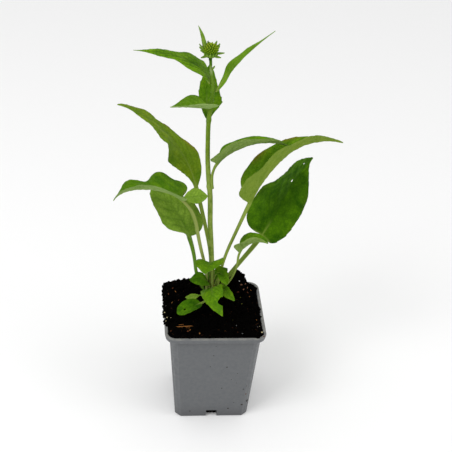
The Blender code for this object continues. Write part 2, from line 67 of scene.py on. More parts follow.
ahead = Vector((
    math.sin(CAMERA_YAW) * math.cos(CAMERA_PITCH),
    math.cos(CAMERA_YAW) * math.cos(CAMERA_PITCH),
    -math.sin(CAMERA_PITCH)))
level_right = Vector((math.cos(CAMERA_YAW), -math.sin(CAMERA_YAW), 0.0))
level_up = level_right.cross(ahead)
camera_right = math.cos(CAMERA_ROLL) * level_right + math.sin(CAMERA_ROLL) * level_up
camera_up = math.cos(CAMERA_ROLL) * level_up - math.sin(CAMERA_ROLL) * level_right

lens = bpy.data.cameras.new("camera")
lens.sensor_width = SENSOR_WIDTH_MM
lens.lens = SENSOR_WIDTH_MM * FOCAL_PIXELS / PHOTO_PIXELS
lens.clip_start = NEAREST_SEEN
camera = bpy.data.objects.new("camera", lens)
camera.matrix_world = Matrix((
    (camera_right.x, camera_up.x, -ahead.x, CAMERA_PLACE.x),
    (camera_right.y, camera_up.y, -ahead.y, CAMERA_PLACE.y),
    (camera_right.z, camera_up.z, -ahead.z, CAMERA_PLACE.z),
    (0.0, 0.0, 0.0, 1.0)))
bpy.context.scene.collection.objects.link(camera)
bpy.context.scene.camera = camera
print("focal length in mm:", round(lens.lens, 1))

# %% Find a place of the photograph on a piece
def seen_on(pieces, place):
    """Where the line of sight through this place first meets a piece, and the way outwards there."""
    aside = place[0] - PHOTO_PIXELS / 2
    down = place[1] - PHOTO_PIXELS / 2
    sight = (FOCAL_PIXELS * ahead + aside * camera_right - down * camera_up).normalized()
    hits = [piece.ray_cast(CAMERA_PLACE, sight) for piece in pieces]
    found = [(point, normal) for hit, point, normal, _ in hits if hit]
    return min(found, key=lambda pair: (pair[0] - CAMERA_PLACE).length, default=None)


# %% [markdown]
# ## Helpers for node trees
# Every finish is a small network of nodes. These helpers add a node with its values, link two nodes, mix two
# colours, and start a group, which is a network that several materials share.

# %% Helpers that add nodes
def add_node(tree, kind, values=None, **settings):
    """A node of this kind, with its settings, and its inputs' values by socket name."""
    node = tree.nodes.new(kind)
    for key, value in settings.items():
        setattr(node, key, value)
    for key, value in (values or {}).items():
        node.inputs[key].default_value = value
    return node


def join(tree, source, target):
    """Links one socket to another."""
    tree.links.new(source, target)


def wire(tree, source, output, target, entry):
    """Links an output of one node to an input of another, each by its name or number."""
    join(tree, source.outputs[output], target.inputs[entry])


def colour_socket(sockets, name):
    return next(socket for socket in sockets if socket.name == name and socket.type == "RGBA")


def mix_colours(tree, factor, first, second):
    """Mixes two colours, each a socket or a plain colour, by a socket that runs from 0 to 1."""
    node = add_node(tree, "ShaderNodeMix", data_type="RGBA")
    join(tree, factor, node.inputs["Factor"])
    for name, colour in (("A", first), ("B", second)):
        target = colour_socket(node.inputs, name)
        if isinstance(colour, tuple):
            target.default_value = (*colour, 1.0)
        else:
            join(tree, colour, target)
    return colour_socket(node.outputs, "Result")


# %% [markdown]
# A shader group has named inputs, which each material sets in its own way, and named outputs. A material
# itself starts with one Principled shader.

# %% Helpers that start a group or a material
def start_group(name, inputs, outputs):
    """A shader group with these inputs, each a name, a socket type and a value, and its two end nodes."""
    group = bpy.data.node_groups.new(name, "ShaderNodeTree")
    for label, kind, value in inputs:
        socket = group.interface.new_socket(label, in_out="INPUT", socket_type=kind)
        socket.default_value = value
    for label, kind in outputs:
        group.interface.new_socket(label, in_out="OUTPUT", socket_type=kind)
    return group, add_node(group, "NodeGroupInput"), add_node(group, "NodeGroupOutput")


def use_group(tree, group, values):
    """The group as one node of a tree, with these values at its inputs."""
    node = add_node(tree, "ShaderNodeGroup", node_tree=group)
    for key, value in values.items():
        node.inputs[key].default_value = (*value, 1.0) if isinstance(value, tuple) else value
    return node


def start_material(name, roughness):
    """A new material, its node tree and its Principled shader, which starts with this roughness."""
    made = bpy.data.materials.new(name)
    made.use_nodes = True
    shader = made.node_tree.nodes["Principled BSDF"]
    shader.inputs["Roughness"].default_value = roughness
    return made, made.node_tree, shader


COLOUR = "NodeSocketColor"
FLOAT = "NodeSocketFloat"
VECTOR = "NodeSocketVector"

# %% [markdown]
# ## Shared finishes
# Nothing that grows, or that is moulded and then used, has one flat colour. The first group mixes two
# colours in soft patches. The second is a fine relief for soil, skin and plastic. Both read Object
# coordinates, so that the pattern stays on the piece when the camera moves.

# %% Group: soft patches of two colours
PATCH_SOFTNESS = 0.16


def build_patches():
    group, start, end = start_group(
        "soft_patches",
        [("Light", COLOUR, (1, 1, 1, 1)), ("Dark", COLOUR, (0, 0, 0, 1)), ("Scale", FLOAT, 60.0),
         ("Balance", FLOAT, 0.5)],
        [("Color", COLOUR), ("Mask", FLOAT)])
    place = add_node(group, "ShaderNodeTexCoord")
    cloud = add_node(group, "ShaderNodeTexNoise", {"Detail": 4.0, "Roughness": 0.6})
    spread = add_node(group, "ShaderNodeMapRange", {"To Min": 0.0, "To Max": 1.0})
    low = add_node(group, "ShaderNodeMath", {1: PATCH_SOFTNESS}, operation="SUBTRACT")
    high = add_node(group, "ShaderNodeMath", {1: PATCH_SOFTNESS}, operation="ADD")
    wire(group, place, "Object", cloud, "Vector")
    wire(group, start, "Scale", cloud, "Scale")
    wire(group, start, "Balance", low, 0)
    wire(group, start, "Balance", high, 0)
    wire(group, cloud, "Fac", spread, "Value")
    wire(group, low, 0, spread, "From Min")
    wire(group, high, 0, spread, "From Max")
    colour = mix_colours(group, spread.outputs["Result"], start.outputs["Light"], start.outputs["Dark"])
    join(group, colour, end.inputs["Color"])
    wire(group, spread, "Result", end, "Mask")
    return group


patches = build_patches()

# %% Group: a fine relief
def build_relief():
    group, start, end = start_group(
        "fine_relief",
        [("Scale", FLOAT, 900.0), ("Depth", FLOAT, 0.0001), ("Strength", FLOAT, 0.5)],
        [("Normal", VECTOR), ("Height", FLOAT)])
    place = add_node(group, "ShaderNodeTexCoord")
    grain = add_node(group, "ShaderNodeTexNoise", {"Detail": 3.0, "Roughness": 0.55})
    bump = add_node(group, "ShaderNodeBump")
    wire(group, place, "Object", grain, "Vector")
    wire(group, start, "Scale", grain, "Scale")
    wire(group, start, "Depth", bump, "Distance")
    wire(group, start, "Strength", bump, "Strength")
    wire(group, grain, "Fac", bump, "Height")
    wire(group, bump, "Normal", end, "Normal")
    wire(group, grain, "Fac", end, "Height")
    return group


relief = build_relief()
print("shared groups:", patches.name, relief.name)

# %% Helpers that give a material its relief, its wear and its change with height
def add_relief(tree, shader, scale, depth, strength):
    skin = use_group(tree, relief, {"Scale": scale, "Depth": depth, "Strength": strength})
    wire(tree, skin, "Normal", shader, "Normal")


def add_wear(tree, shader, mask, smooth, rough):
    """Roughness between these two values, as the mask goes from 0 to 1."""
    wear = add_node(tree, "ShaderNodeMapRange", {"To Min": smooth, "To Max": rough})
    join(tree, mask, wear.inputs["Value"])
    wire(tree, wear, "Result", shader, "Roughness")


def height_on_piece(tree):
    """The height of a point in the piece's own coordinates."""
    place = add_node(tree, "ShaderNodeTexCoord")
    axes = add_node(tree, "ShaderNodeSeparateXYZ")
    wire(tree, place, "Object", axes, "Vector")
    return axes.outputs["Z"]


def share_between(tree, height, low, high):
    """0 up to the low height and 1 from the high one."""
    rise = add_node(tree, "ShaderNodeMapRange", {"From Min": low, "From Max": high})
    join(tree, height, rise.inputs["Value"])
    return rise.outputs["Result"]


# %% [markdown]
# ## A floor and soft light
# The photograph is a cut-out on white. A wide pale floor under an even, bright sky gives the same calm
# light. A broad lamp over the left shoulder draws the shape of the leaves, and a weaker one on the right
# softens their shadows.

# %% Helpers that put a mesh in the scene
def link_mesh(name, mesh, materials=()):
    """A piece of this name from the mesh, with these materials."""
    for made in materials:
        mesh.materials.append(made)
    piece = bpy.data.objects.new(name, mesh)
    bpy.context.scene.collection.objects.link(piece)
    return piece


def piece_from(shape, name, materials=()):
    """A piece of this name from a bmesh, which is freed."""
    mesh = bpy.data.meshes.new(name)
    shape.to_mesh(mesh)
    shape.free()
    return link_mesh(name, mesh, materials)


# %% Floor, sky and lamps
FLOOR_SIZE = 6.0
FLOOR_PALE = (0.90, 0.90, 0.90)
SKY_STRENGTH = 0.84
PLANT_MIDDLE = (0.0, 0.0, 0.18)


def build_floor():
    shape = bmesh.new()
    bmesh.ops.create_grid(shape, x_segments=1, y_segments=1, size=FLOOR_SIZE / 2)
    made, _, shader = start_material("floor_pale", 0.8)
    shader.inputs["Base Color"].default_value = (*FLOOR_PALE, 1.0)
    return piece_from(shape, "floor", [made])


def add_lamp(name, place, target, size, power):
    """A square lamp that faces its target."""
    lamp = bpy.data.lights.new(name, "AREA")
    lamp.size = size
    lamp.energy = power
    holder = bpy.data.objects.new(name, lamp)
    holder.location = place
    holder.rotation_euler = (Vector(target) - Vector(place)).to_track_quat("-Z", "Y").to_euler()
    bpy.context.scene.collection.objects.link(holder)


build_floor()
add_lamp("lamp_left", (-0.9, -0.7, 1.3), PLANT_MIDDLE, 0.8, 10.5)
add_lamp("lamp_right", (1.2, -0.5, 0.9), PLANT_MIDDLE, 0.9, 4.0)
sky = bpy.data.worlds.new("sky")
sky.use_nodes = True
sky.node_tree.nodes["Background"].inputs["Color"].default_value = (1.0, 1.0, 1.0, 1.0)
sky.node_tree.nodes["Background"].inputs["Strength"].default_value = SKY_STRENGTH
bpy.context.scene.world = sky
bpy.context.scene.view_settings.view_transform = "Standard"
print("lamps and sky are set")

# %% [markdown]
# ## Helpers for meshes
# Most pieces are lofts: rings with the same count of points, joined by quads, with the two ends closed. The
# tip of a leaf or a bud is one point, where the last ring's faces meet.

# %% Lofts
def loft_faces(ring_count, ring_size, has_tip):
    """Quads between the rings, one cap at the start, and a fan to the tip or a second cap."""
    faces = []
    for ring in range(ring_count - 1):
        for i in range(ring_size):
            j = (i + 1) % ring_size
            near = ring * ring_size
            far = near + ring_size
            faces.append((near + i, near + j, far + j, far + i))
    last = (ring_count - 1) * ring_size
    if has_tip:
        tip = ring_count * ring_size
        faces += [(last + i, last + (i + 1) % ring_size, tip) for i in range(ring_size)]
    else:
        faces.append(tuple(range(last, last + ring_size)))
    faces.append(tuple(reversed(range(ring_size))))
    return faces


def loft_mesh(name, rings, tip=None):
    """A closed, smoothly shaded skin over the rings, with its faces pointing outwards."""
    points = [tuple(point) for ring in rings for point in ring]
    if tip is not None:
        points.append(tuple(tip))
    mesh = bpy.data.meshes.new(name)
    mesh.from_pydata(points, [], loft_faces(len(rings), len(rings[0]), tip is not None))
    shape = bmesh.new()
    shape.from_mesh(mesh)
    bmesh.ops.recalc_face_normals(shape, faces=shape.faces)
    shape.to_mesh(mesh)
    shape.free()
    mesh.shade_smooth()
    return mesh


# %% [markdown]
# A modifier's result becomes a plain mesh before the piece is handed over. Cuts use the exact solver, which
# keeps thin walls whole.

# %% From modifiers to plain geometry
def freeze(piece):
    """Turns the piece's modifiers into plain geometry, and removes them."""
    bpy.context.view_layer.update()
    graph = bpy.context.evaluated_depsgraph_get()
    mesh = bpy.data.meshes.new_from_object(piece.evaluated_get(graph), depsgraph=graph)
    piece.modifiers.clear()
    old = piece.data
    piece.data = mesh
    bpy.data.meshes.remove(old)
    mesh.name = piece.name
    return piece


def cut(piece, cutters, operation):
    """Joins or cuts the piece with each cutter, and removes the cutters."""
    for cutter in cutters:
        modifier = piece.modifiers.new(cutter.name, "BOOLEAN")
        modifier.operation = operation
        modifier.solver = "EXACT"
        modifier.object = cutter
    freeze(piece)
    for cutter in cutters:
        bpy.data.objects.remove(cutter)


def join_meshes(name, meshes, materials):
    """One piece from several meshes, with their attributes and their material numbers kept."""
    shape = bmesh.new()
    for mesh in meshes:
        shape.from_mesh(mesh)
    return piece_from(shape, name, materials)


# %% [markdown]
# The plant has one body, which every piece rides on. A piece may stand for plain solids of the frame.

# %% Hand a piece to the frame
def finish_piece(piece, slot, *nodes):
    """Rides on the one body and stands for these nodes of the frame. Its slot is not used."""
    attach(piece, "root")
    if nodes:
        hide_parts(*nodes)
    triangles = sum(len(face.vertices) - 2 for face in piece.data.polygons)
    print(piece.name, "has", triangles, "triangles")


# %% [markdown]
# ## The pot
# A nursery pot is moulded in one thin skin. Its four sides taper to the foot, and the corners between them
# are cut flat. A narrow collar carries the turned-over band of the rim, whose corners are round. In the foot
# of each side a notch lets water out. A loft follows that profile up the outside, over the lip and down the
# inside.

# %% Sizes of the pot
POT_HEIGHT = 0.097
RIM_HALF = 0.045
RIM_FOOT = 0.092
LIP_WIDTH = 0.0028
BODY_TOP_HALF = 0.0407
BODY_FOOT_HALF = 0.0333
POT_WALL = 0.001
POT_FLOOR = 0.0012
RIM_CORNER = 0.010
TOP_CORNER = 0.007
FOOT_CORNER = 0.0055
FOOT_EDGE = 0.0006
LIP_ROUND = 0.0008

# %% One ring round the pot
EDGE_HOLD = 0.0006
ARC_STEPS = 10


def on_four_sides(quarter):
    """The points of one quarter of a ring, repeated for all four."""
    points = []
    for turn in range(4):
        cosine, sine = round(math.cos(turn * math.pi / 2)), round(math.sin(turn * math.pi / 2))
        points += [(x * cosine - y * sine, x * sine + y * cosine) for x, y in quarter]
    return points


def pot_ring(half, corner, height, flatness=0.0):
    """One ring round the pot. The flatness turns its round corners into straight cut ones."""
    middle = half - corner
    held = middle - EDGE_HOLD
    quarter = [(half, 0.0), (half, held)]
    for step in range(ARC_STEPS + 1):
        share = step / ARC_STEPS
        angle = share * math.pi / 2
        x = (1 - flatness) * math.cos(angle) + flatness * (1 - share)
        y = (1 - flatness) * math.sin(angle) + flatness * share
        quarter.append((middle + corner * x, middle + corner * y))
    quarter.append((held, half))
    return [(x, y, height) for x, y in on_four_sides(quarter)]


# %% [markdown]
# The body tapers evenly from the rim to the foot. The rings lie closer together where the profile turns: at
# the foot, at the collar and round the lip.

# %% The pot's rings
RIM_FLARE = 0.0008
CORNER_FLATNESS = 0.78
COLLAR_FOOT = 0.0893
COLLAR_PROUD = 0.00045
STEP_ROUND = 0.0003


def body_half(height):
    """Half the width of the tapering body at this height."""
    return BODY_FOOT_HALF + (BODY_TOP_HALF - BODY_FOOT_HALF) * height / RIM_FOOT


def body_ring(height, grown=0.0):
    corner = FOOT_CORNER + (TOP_CORNER - FOOT_CORNER) * height / RIM_FOOT
    return pot_ring(body_half(height) + grown, corner, height, CORNER_FLATNESS)


def pot_rings():
    """All rings, from the foot up the outside, over the lip and down the inside."""
    rings = [pot_ring(BODY_FOOT_HALF - FOOT_EDGE, FOOT_CORNER - FOOT_EDGE, 0.0, CORNER_FLATNESS)]
    for height in (FOOT_EDGE, 2 * FOOT_EDGE, 0.3 * POT_HEIGHT, 0.6 * POT_HEIGHT,
                   COLLAR_FOOT - STEP_ROUND, COLLAR_FOOT):
        rings.append(body_ring(height))
    for height in (COLLAR_FOOT + STEP_ROUND, RIM_FOOT - STEP_ROUND, RIM_FOOT):
        rings.append(body_ring(height, COLLAR_PROUD))
    rings.append(pot_ring(RIM_HALF - RIM_FLARE - STEP_ROUND, RIM_CORNER - STEP_ROUND, RIM_FOOT))
    rings.append(pot_ring(RIM_HALF - RIM_FLARE, RIM_CORNER, RIM_FOOT + STEP_ROUND))
    for turn in (0, 30, 60, 90):
        angle = math.radians(turn)
        inset = LIP_ROUND * (1 - math.cos(angle))
        height = POT_HEIGHT - LIP_ROUND * (1 - math.sin(angle))
        rings.append(pot_ring(RIM_HALF - inset, RIM_CORNER - inset, height))
    lip = LIP_WIDTH - LIP_ROUND / 2
    rings.append(pot_ring(RIM_HALF - lip, RIM_CORNER - lip, POT_HEIGHT))
    rings.append(pot_ring(RIM_HALF - LIP_WIDTH, RIM_CORNER - LIP_WIDTH, POT_HEIGHT - LIP_ROUND / 2))
    rings.append(pot_ring(BODY_TOP_HALF - POT_WALL, TOP_CORNER - POT_WALL, RIM_FOOT))
    rings.append(pot_ring(BODY_FOOT_HALF - POT_WALL, FOOT_CORNER - POT_WALL, POT_FLOOR))
    return rings


# %% Notches and their frames
NOTCH_WIDTH = 0.010
NOTCH_HEIGHT = 0.0073
WELL_DEPTH = 0.012
FRAME_WIDTH = 0.0150
FRAME_HEIGHT = 0.0088
FRAME_PROUD = 0.00015
SHARP_FROM = math.radians(35)


def side_box(name, side, inner, outer, width, low, high):
    """A box from inner to outer, both measured from the pot's middle towards one of its sides."""
    shape = bmesh.new()
    bmesh.ops.create_cube(shape, size=1.0)
    bmesh.ops.scale(shape, vec=(outer - inner, width, high - low), verts=shape.verts)
    bmesh.ops.translate(shape, vec=((inner + outer) / 2, 0.0, (low + high) / 2), verts=shape.verts)
    turn = Matrix.Rotation(side * math.pi / 2, 3, "Z")
    bmesh.ops.rotate(shape, cent=(0.0, 0.0, 0.0), matrix=turn, verts=shape.verts)
    return piece_from(shape, name)


def build_pot(finish):
    """The shell, with a well and a raised frame added at each side's notch, and the notches then cut."""
    pot = link_mesh("nursery_pot", loft_mesh("nursery_pot", pot_rings()), [finish])
    inner = BODY_FOOT_HALF - WELL_DEPTH
    outer = BODY_FOOT_HALF + 2 * POT_WALL
    in_wall = BODY_FOOT_HALF - POT_WALL / 2
    wells = [side_box("well", side, inner - POT_WALL, in_wall, NOTCH_WIDTH + 2 * POT_WALL,
                      POT_FLOOR / 2, NOTCH_HEIGHT + POT_WALL) for side in range(4)]
    frames = [side_box("frame", side, in_wall, BODY_FOOT_HALF + FRAME_PROUD, FRAME_WIDTH,
                       2 * FOOT_EDGE, FRAME_HEIGHT) for side in range(4)]
    cut(pot, wells + frames, "UNION")
    cut(pot, [side_box("notch", side, inner, outer, NOTCH_WIDTH, -NOTCH_HEIGHT, NOTCH_HEIGHT)
              for side in range(4)], "DIFFERENCE")
    pot.data.shade_smooth()
    pot.data.set_sharp_from_angle(angle=SHARP_FROM)
    return pot


# %% [markdown]
# The plastic is a cool mid grey in faint patches. Its lip is painted a paler, warmer grey, a painted
# highlight where light falls on its flat top, and the body is painted darker towards its foot, a painted
# shade. Height in the piece's own coordinates tells the lip and the foot from the body.

# %% The pot's finish
# Painted shade: the colour at the foot, and the height over which the body fades back to its own grey
FOOT_PAINTED_SHADE = (0.078, 0.081, 0.085)
FOOT_PAINTED_SHADE_RISE = 0.014
# Painted highlight: how far down from the top the lip is painted paler and warmer
LIP_HIGHLIGHT_DEPTH = 0.0012


def pot_finish():
    made, tree, shader = start_material("pot_plastic", 0.5)
    body = use_group(tree, patches, {
        "Light": (0.110, 0.115, 0.120), "Dark": (0.099, 0.105, 0.111), "Scale": 330.0})
    # painted highlight on the lip's flat top: a paler, warmer grey
    lip = use_group(tree, patches, {
        "Light": (0.205, 0.202, 0.186), "Dark": (0.125, 0.127, 0.127), "Scale": 160.0})
    height = height_on_piece(tree)
    # painted shade: the body is painted darker towards its foot
    painted_foot_shade = share_between(tree, height, 0.0, FOOT_PAINTED_SHADE_RISE)
    painted_lip_highlight = share_between(tree, height, POT_HEIGHT - LIP_HIGHLIGHT_DEPTH, POT_HEIGHT)
    low = mix_colours(tree, painted_foot_shade, FOOT_PAINTED_SHADE, body.outputs["Color"])
    join(tree, mix_colours(tree, painted_lip_highlight, low, lip.outputs["Color"]), shader.inputs["Base Color"])
    add_wear(tree, shader, body.outputs["Mask"], 0.42, 0.6)
    add_relief(tree, shader, 1500.0, 0.00006, 0.35)
    return made


pot = build_pot(pot_finish())
finish_piece(pot, "pot", "pot")

# %% [markdown]
# ## Scattering with Geometry Nodes
# Crumbs, fibres and hairs are all the same job: many small copies of one shape on a surface. The tree below
# drops points on the faces it is given, sets a shape on each with a random turn and size, makes the copies
# real and gives them their finish. Its sizes are named inputs. The function builds two of these trees: one
# for bits that lie about, and one for hairs that stand square to their face.

# %% Start a geometry tree
GEOMETRY = "NodeSocketGeometry"
OBJECT = "NodeSocketObject"
MATERIAL = "NodeSocketMaterial"
WHOLE = "NodeSocketInt"


def start_tree(name, inputs):
    """A geometry tree with these inputs, each a name, a socket type and a value, and its two end nodes.

    The dictionary holds each input's identifier by its name.
    """
    tree = bpy.data.node_groups.new(name, "GeometryNodeTree")
    ids = {}
    for label, kind, value in (("Surface", GEOMETRY, None), *inputs):
        socket = tree.interface.new_socket(label, in_out="INPUT", socket_type=kind)
        if value is not None:
            socket.default_value = value
        ids[label] = socket.identifier
    tree.interface.new_socket("Result", in_out="OUTPUT", socket_type=GEOMETRY)
    return tree, ids, add_node(tree, "NodeGroupInput"), add_node(tree, "NodeGroupOutput")


# %% [markdown]
# A value in a tree is a plain number or the output of another node. The next helpers take either, so that a
# formula can be written in one line.

# %% Sums, vectors and random values in a tree
def feed(tree, sockets, values):
    """Each value goes to its socket: another socket by a link, a number as it is, None not at all."""
    for socket, value in zip(sockets, values):
        if isinstance(value, bpy.types.NodeSocket):
            join(tree, value, socket)
        elif value is not None:
            socket.default_value = value


def math_node(tree, operation, first, second=None):
    """The result of one sum, whose terms may be sockets or numbers."""
    node = add_node(tree, "ShaderNodeMath", operation=operation)
    feed(tree, node.inputs, (first, second))
    return node.outputs[0]


def vector_of(tree, *parts):
    """One vector from three sockets or numbers."""
    node = add_node(tree, "ShaderNodeCombineXYZ")
    feed(tree, node.inputs, parts)
    return node.outputs["Vector"]


def random_value(tree, low, high, seed):
    """A random number for each point, between two values that may be sockets."""
    node = add_node(tree, "FunctionNodeRandomValue", data_type="FLOAT")
    feed(tree, [socket for socket in node.inputs if socket.enabled], (low, high))
    node.inputs["Seed"].default_value = seed
    return next(socket for socket in node.outputs if socket.enabled)


# %% [markdown]
# Copies on points are only references to one shape. They are made real and get their finish inside the tree,
# because the export drops references. The tree then runs once on a copy of its surface, and what it makes is
# kept as a plain mesh.

# %% Copies on points, made real and kept
def copies_on(tree, start, points, rotation, size):
    """Copies of the tree's shape on these points, made real only later."""
    info = add_node(tree, "GeometryNodeObjectInfo")
    place = add_node(tree, "GeometryNodeInstanceOnPoints")
    wire(tree, start, "Shape", info, "Object")
    wire(tree, info, "Geometry", place, "Instance")
    join(tree, points, place.inputs["Points"])
    join(tree, rotation, place.inputs["Rotation"])
    join(tree, size, place.inputs["Scale"])
    return place.outputs["Instances"]


def made_real(tree, copies):
    """Plain geometry instead of references."""
    real = add_node(tree, "GeometryNodeRealizeInstances")
    join(tree, copies, real.inputs["Geometry"])
    return real.outputs["Geometry"]


def close_tree(tree, start, end, geometry):
    """Gives the geometry the tree's finish, and makes it the result."""
    paint = add_node(tree, "GeometryNodeSetMaterial")
    join(tree, geometry, paint.inputs["Geometry"])
    wire(tree, start, "Finish", paint, "Material")
    wire(tree, paint, "Geometry", end, "Result")


def grow(name, surface, tree, ids, values):
    """A plain mesh of what the tree makes on a copy of the surface, with these values at its inputs."""
    piece = link_mesh(name, surface.data.copy())
    modifier = piece.modifiers.new(name, "NODES")
    modifier.node_group = tree
    for label, value in values.items():
        modifier[ids[label]] = value
    return freeze(piece)


# %% The scatter tree
ROUGHEN_SCALE = 1300.0


def roughened(tree, geometry, amount):
    """The geometry with its points pushed about by noise, as far as this socket says."""
    cloud = add_node(tree, "ShaderNodeTexNoise", {"Scale": ROUGHEN_SCALE, "Detail": 1.0})
    middle = add_node(tree, "ShaderNodeVectorMath", {1: (0.5, 0.5, 0.5)}, operation="SUBTRACT")
    stretch = add_node(tree, "ShaderNodeVectorMath", operation="SCALE")
    push = add_node(tree, "GeometryNodeSetPosition")
    wire(tree, cloud, "Color", middle, 0)
    wire(tree, middle, "Vector", stretch, "Vector")
    join(tree, amount, stretch.inputs["Scale"])
    join(tree, geometry, push.inputs["Geometry"])
    wire(tree, stretch, "Vector", push, "Offset")
    return push.outputs["Geometry"]


def scatter_tree(upright):
    """Points on faces, with a copy of the shape on each, upright or square to its face, then made real."""
    tree, ids, start, end = start_tree("scatter", (
        ("Shape", OBJECT, None), ("Density", FLOAT, 1000.0), ("Smallest", FLOAT, 0.5),
        ("Largest", FLOAT, 1.0), ("Lean", FLOAT, 0.3), ("Roughen", FLOAT, 0.0), ("Seed", WHOLE, 1),
        ("Finish", MATERIAL, None)))
    drop = add_node(tree, "GeometryNodeDistributePointsOnFaces")
    wire(tree, start, "Surface", drop, "Mesh")
    wire(tree, start, "Density", drop, "Density")
    wire(tree, start, "Seed", drop, "Seed")
    most = start.outputs["Lean"]
    least = math_node(tree, "MULTIPLY", most, -1.0)
    turn = vector_of(tree, random_value(tree, least, most, 1), random_value(tree, least, most, 2),
                     random_value(tree, 0.0, 2 * math.pi, 3))
    if not upright:
        spin = add_node(tree, "FunctionNodeRotateEuler", rotation_type="EULER", space="LOCAL")
        wire(tree, drop, "Rotation", spin, "Rotation")
        join(tree, turn, spin.inputs["Rotate By"])
        turn = spin.outputs["Rotation"]
    size = random_value(tree, start.outputs["Smallest"], start.outputs["Largest"], 4)
    copies = made_real(tree, copies_on(tree, start, drop.outputs["Points"], turn, size))
    close_tree(tree, start, end, roughened(tree, copies, start.outputs["Roughen"]))
    return tree, ids


lying_tree, lying_ids = scatter_tree(upright=True)
standing_tree, standing_ids = scatter_tree(upright=False)


def scatter(name, surface, shape, finish, standing=False, **sizes):
    """A plain mesh of copies of the shape on the surface. The caller keeps the surface and the shape."""
    tree, ids = (standing_tree, standing_ids) if standing else (lying_tree, lying_ids)
    return grow(name, surface, tree, ids, {"Shape": shape, "Finish": finish, **sizes})


print("scatter trees are built")

# %% [markdown]
# ## The soil
# Dark, moist potting soil fills the pot to its lip, heaped at the back on the left, with a low ridge behind
# the plant and one clod at the back on the right. Its skin is a fine grid of rings that shrink towards the
# crown of the plant, lifted by a few soft hills and by fractal noise for the crumbly surface.

# %% Sizes of the soil
SOIL_EDGE = POT_HEIGHT - 0.0005
CROWN_X = -0.0005
CROWN_Y = 0.020
CROWN_Z = 0.103
MOUND_SPREAD = 0.026
CLOD_X = 0.0235
CLOD_Y = 0.0350
CLOD_RISE = 0.0150
CLOD_SPREAD = 0.0085
RIDGE_X = 0.001
RIDGE_RISE = 0.0048
RIDGE_START = 0.028
RIDGE_SPREAD = 0.008
RIDGE_LENGTH = 0.017
HEAP_X = -0.026
HEAP_RISE = 0.0034
HEAP_SPREAD = 0.018
HEAP_START = 0.012
CRUMB_RISE = 0.0022
CRUMB_SCALE = 150.0
GRIT_RISE = 0.0010
GRIT_SCALE = 520.0

CRUMB_LEVEL = 0.3
GRIT_LEVEL = 0.7

# How rough the noise is, how much finer each layer is than the last, and how many layers there are
CRUMB_LAYERS = (0.9, 2.1, 4)
GRIT_LAYERS = (0.8, 2.1, 3)

# %% The soil's skin
def ramp(place, start, length):
    """0 up to the start, then an even climb to 1 over this length."""
    return min(1.0, max(0.0, (place - start) / length))


def bell(square, spread):
    """1 in the middle, and smoothly less with the square of the distance from it."""
    return math.exp(-square / spread**2)


def soil_height(x, y):
    """The smooth top: the mound under the plant, the steep clod, the heap and the low ridge at the back."""
    mound = (CROWN_Z - SOIL_EDGE) * bell((x - CROWN_X) ** 2 + (y - CROWN_Y) ** 2, MOUND_SPREAD)
    clod = CLOD_RISE * math.exp(-((((x - CLOD_X) ** 2 + (y - CLOD_Y) ** 2) / CLOD_SPREAD**2) ** 2))
    heap = HEAP_RISE * ramp(y, HEAP_START, HEAP_SPREAD) * bell((x - HEAP_X) ** 2, HEAP_SPREAD)
    ridge = RIDGE_RISE * ramp(y, RIDGE_START, RIDGE_SPREAD) * bell((x - RIDGE_X) ** 2, RIDGE_LENGTH)
    return SOIL_EDGE + mound + max(clod, ridge) + heap


def soil_noise(x, y):
    """Crumbs, and the finer grit between them."""
    crumbs = noise.fractal(Vector((x, y, CRUMB_LEVEL)) * CRUMB_SCALE, *CRUMB_LAYERS)
    grit = noise.fractal(Vector((x, y, GRIT_LEVEL)) * GRIT_SCALE, *GRIT_LAYERS)
    return CRUMB_RISE * crumbs + GRIT_RISE * grit


# %% [markdown]
# The skin's rings follow the inside of the pot up to the lip, and then shrink towards the crown. They start
# quiet at the lip, and the crumbs grow within the first few rings.

# %% The soil's rings
SOIL_BASE = 0.0090
SOIL_CLEARANCE = 0.0003
SOIL_ROWS = 64
SOIL_EDGE_POINTS = 20
SETTLE_RATE = 12


def fine_outline(half, corner):
    """The rounded square with evenly close points, so that the skin has no long faces."""
    side = [(half, (half - corner) * step / SOIL_EDGE_POINTS)
            for step in range(-SOIL_EDGE_POINTS, SOIL_EDGE_POINTS)]
    arc = [(half - corner + corner * math.cos(a), half - corner + corner * math.sin(a))
           for a in (step * math.pi / 2 / ARC_STEPS for step in range(ARC_STEPS))]
    return on_four_sides(side + arc)


def soil_rings():
    """Two rings down the inside of the pot, the shrinking rings of the top, and the point at the crown."""
    wall = SOIL_CLEARANCE + POT_WALL
    low = [(x, y, SOIL_BASE) for x, y in fine_outline(body_half(SOIL_BASE) - wall, FOOT_CORNER - POT_WALL)]
    high = [(x, y, RIM_FOOT) for x, y in fine_outline(BODY_TOP_HALF - wall, TOP_CORNER - POT_WALL)]
    edge = fine_outline(RIM_HALF - LIP_WIDTH - SOIL_CLEARANCE, RIM_CORNER - LIP_WIDTH)
    rings = [low, high]
    for row in range(SOIL_ROWS):
        share = 1 - row / SOIL_ROWS
        ring = []
        for x_edge, y_edge in edge:
            x = CROWN_X + share * (x_edge - CROWN_X)
            y = CROWN_Y + share * (y_edge - CROWN_Y)
            settle = min(1.0, (1 - share) * SETTLE_RATE)
            ring.append((x, y, soil_height(x, y) + settle * soil_noise(x, y)))
        rings.append(ring)
    return rings, (CROWN_X, CROWN_Y, CROWN_Z)


# %% The soil's finish
SOIL_GLOSS = 0.02


def soil_finish():
    made, tree, shader = start_material("soil_black", 0.9)
    shader.inputs["Specular IOR Level"].default_value = SOIL_GLOSS
    body = use_group(tree, patches, {
        "Light": (0.0015, 0.0012, 0.0010), "Dark": (0.0004, 0.0003, 0.0003), "Scale": 260.0,
        "Balance": 0.45})
    wire(tree, body, "Color", shader, "Base Color")
    add_relief(tree, shader, 1400.0, 0.0005, 0.9)
    return made


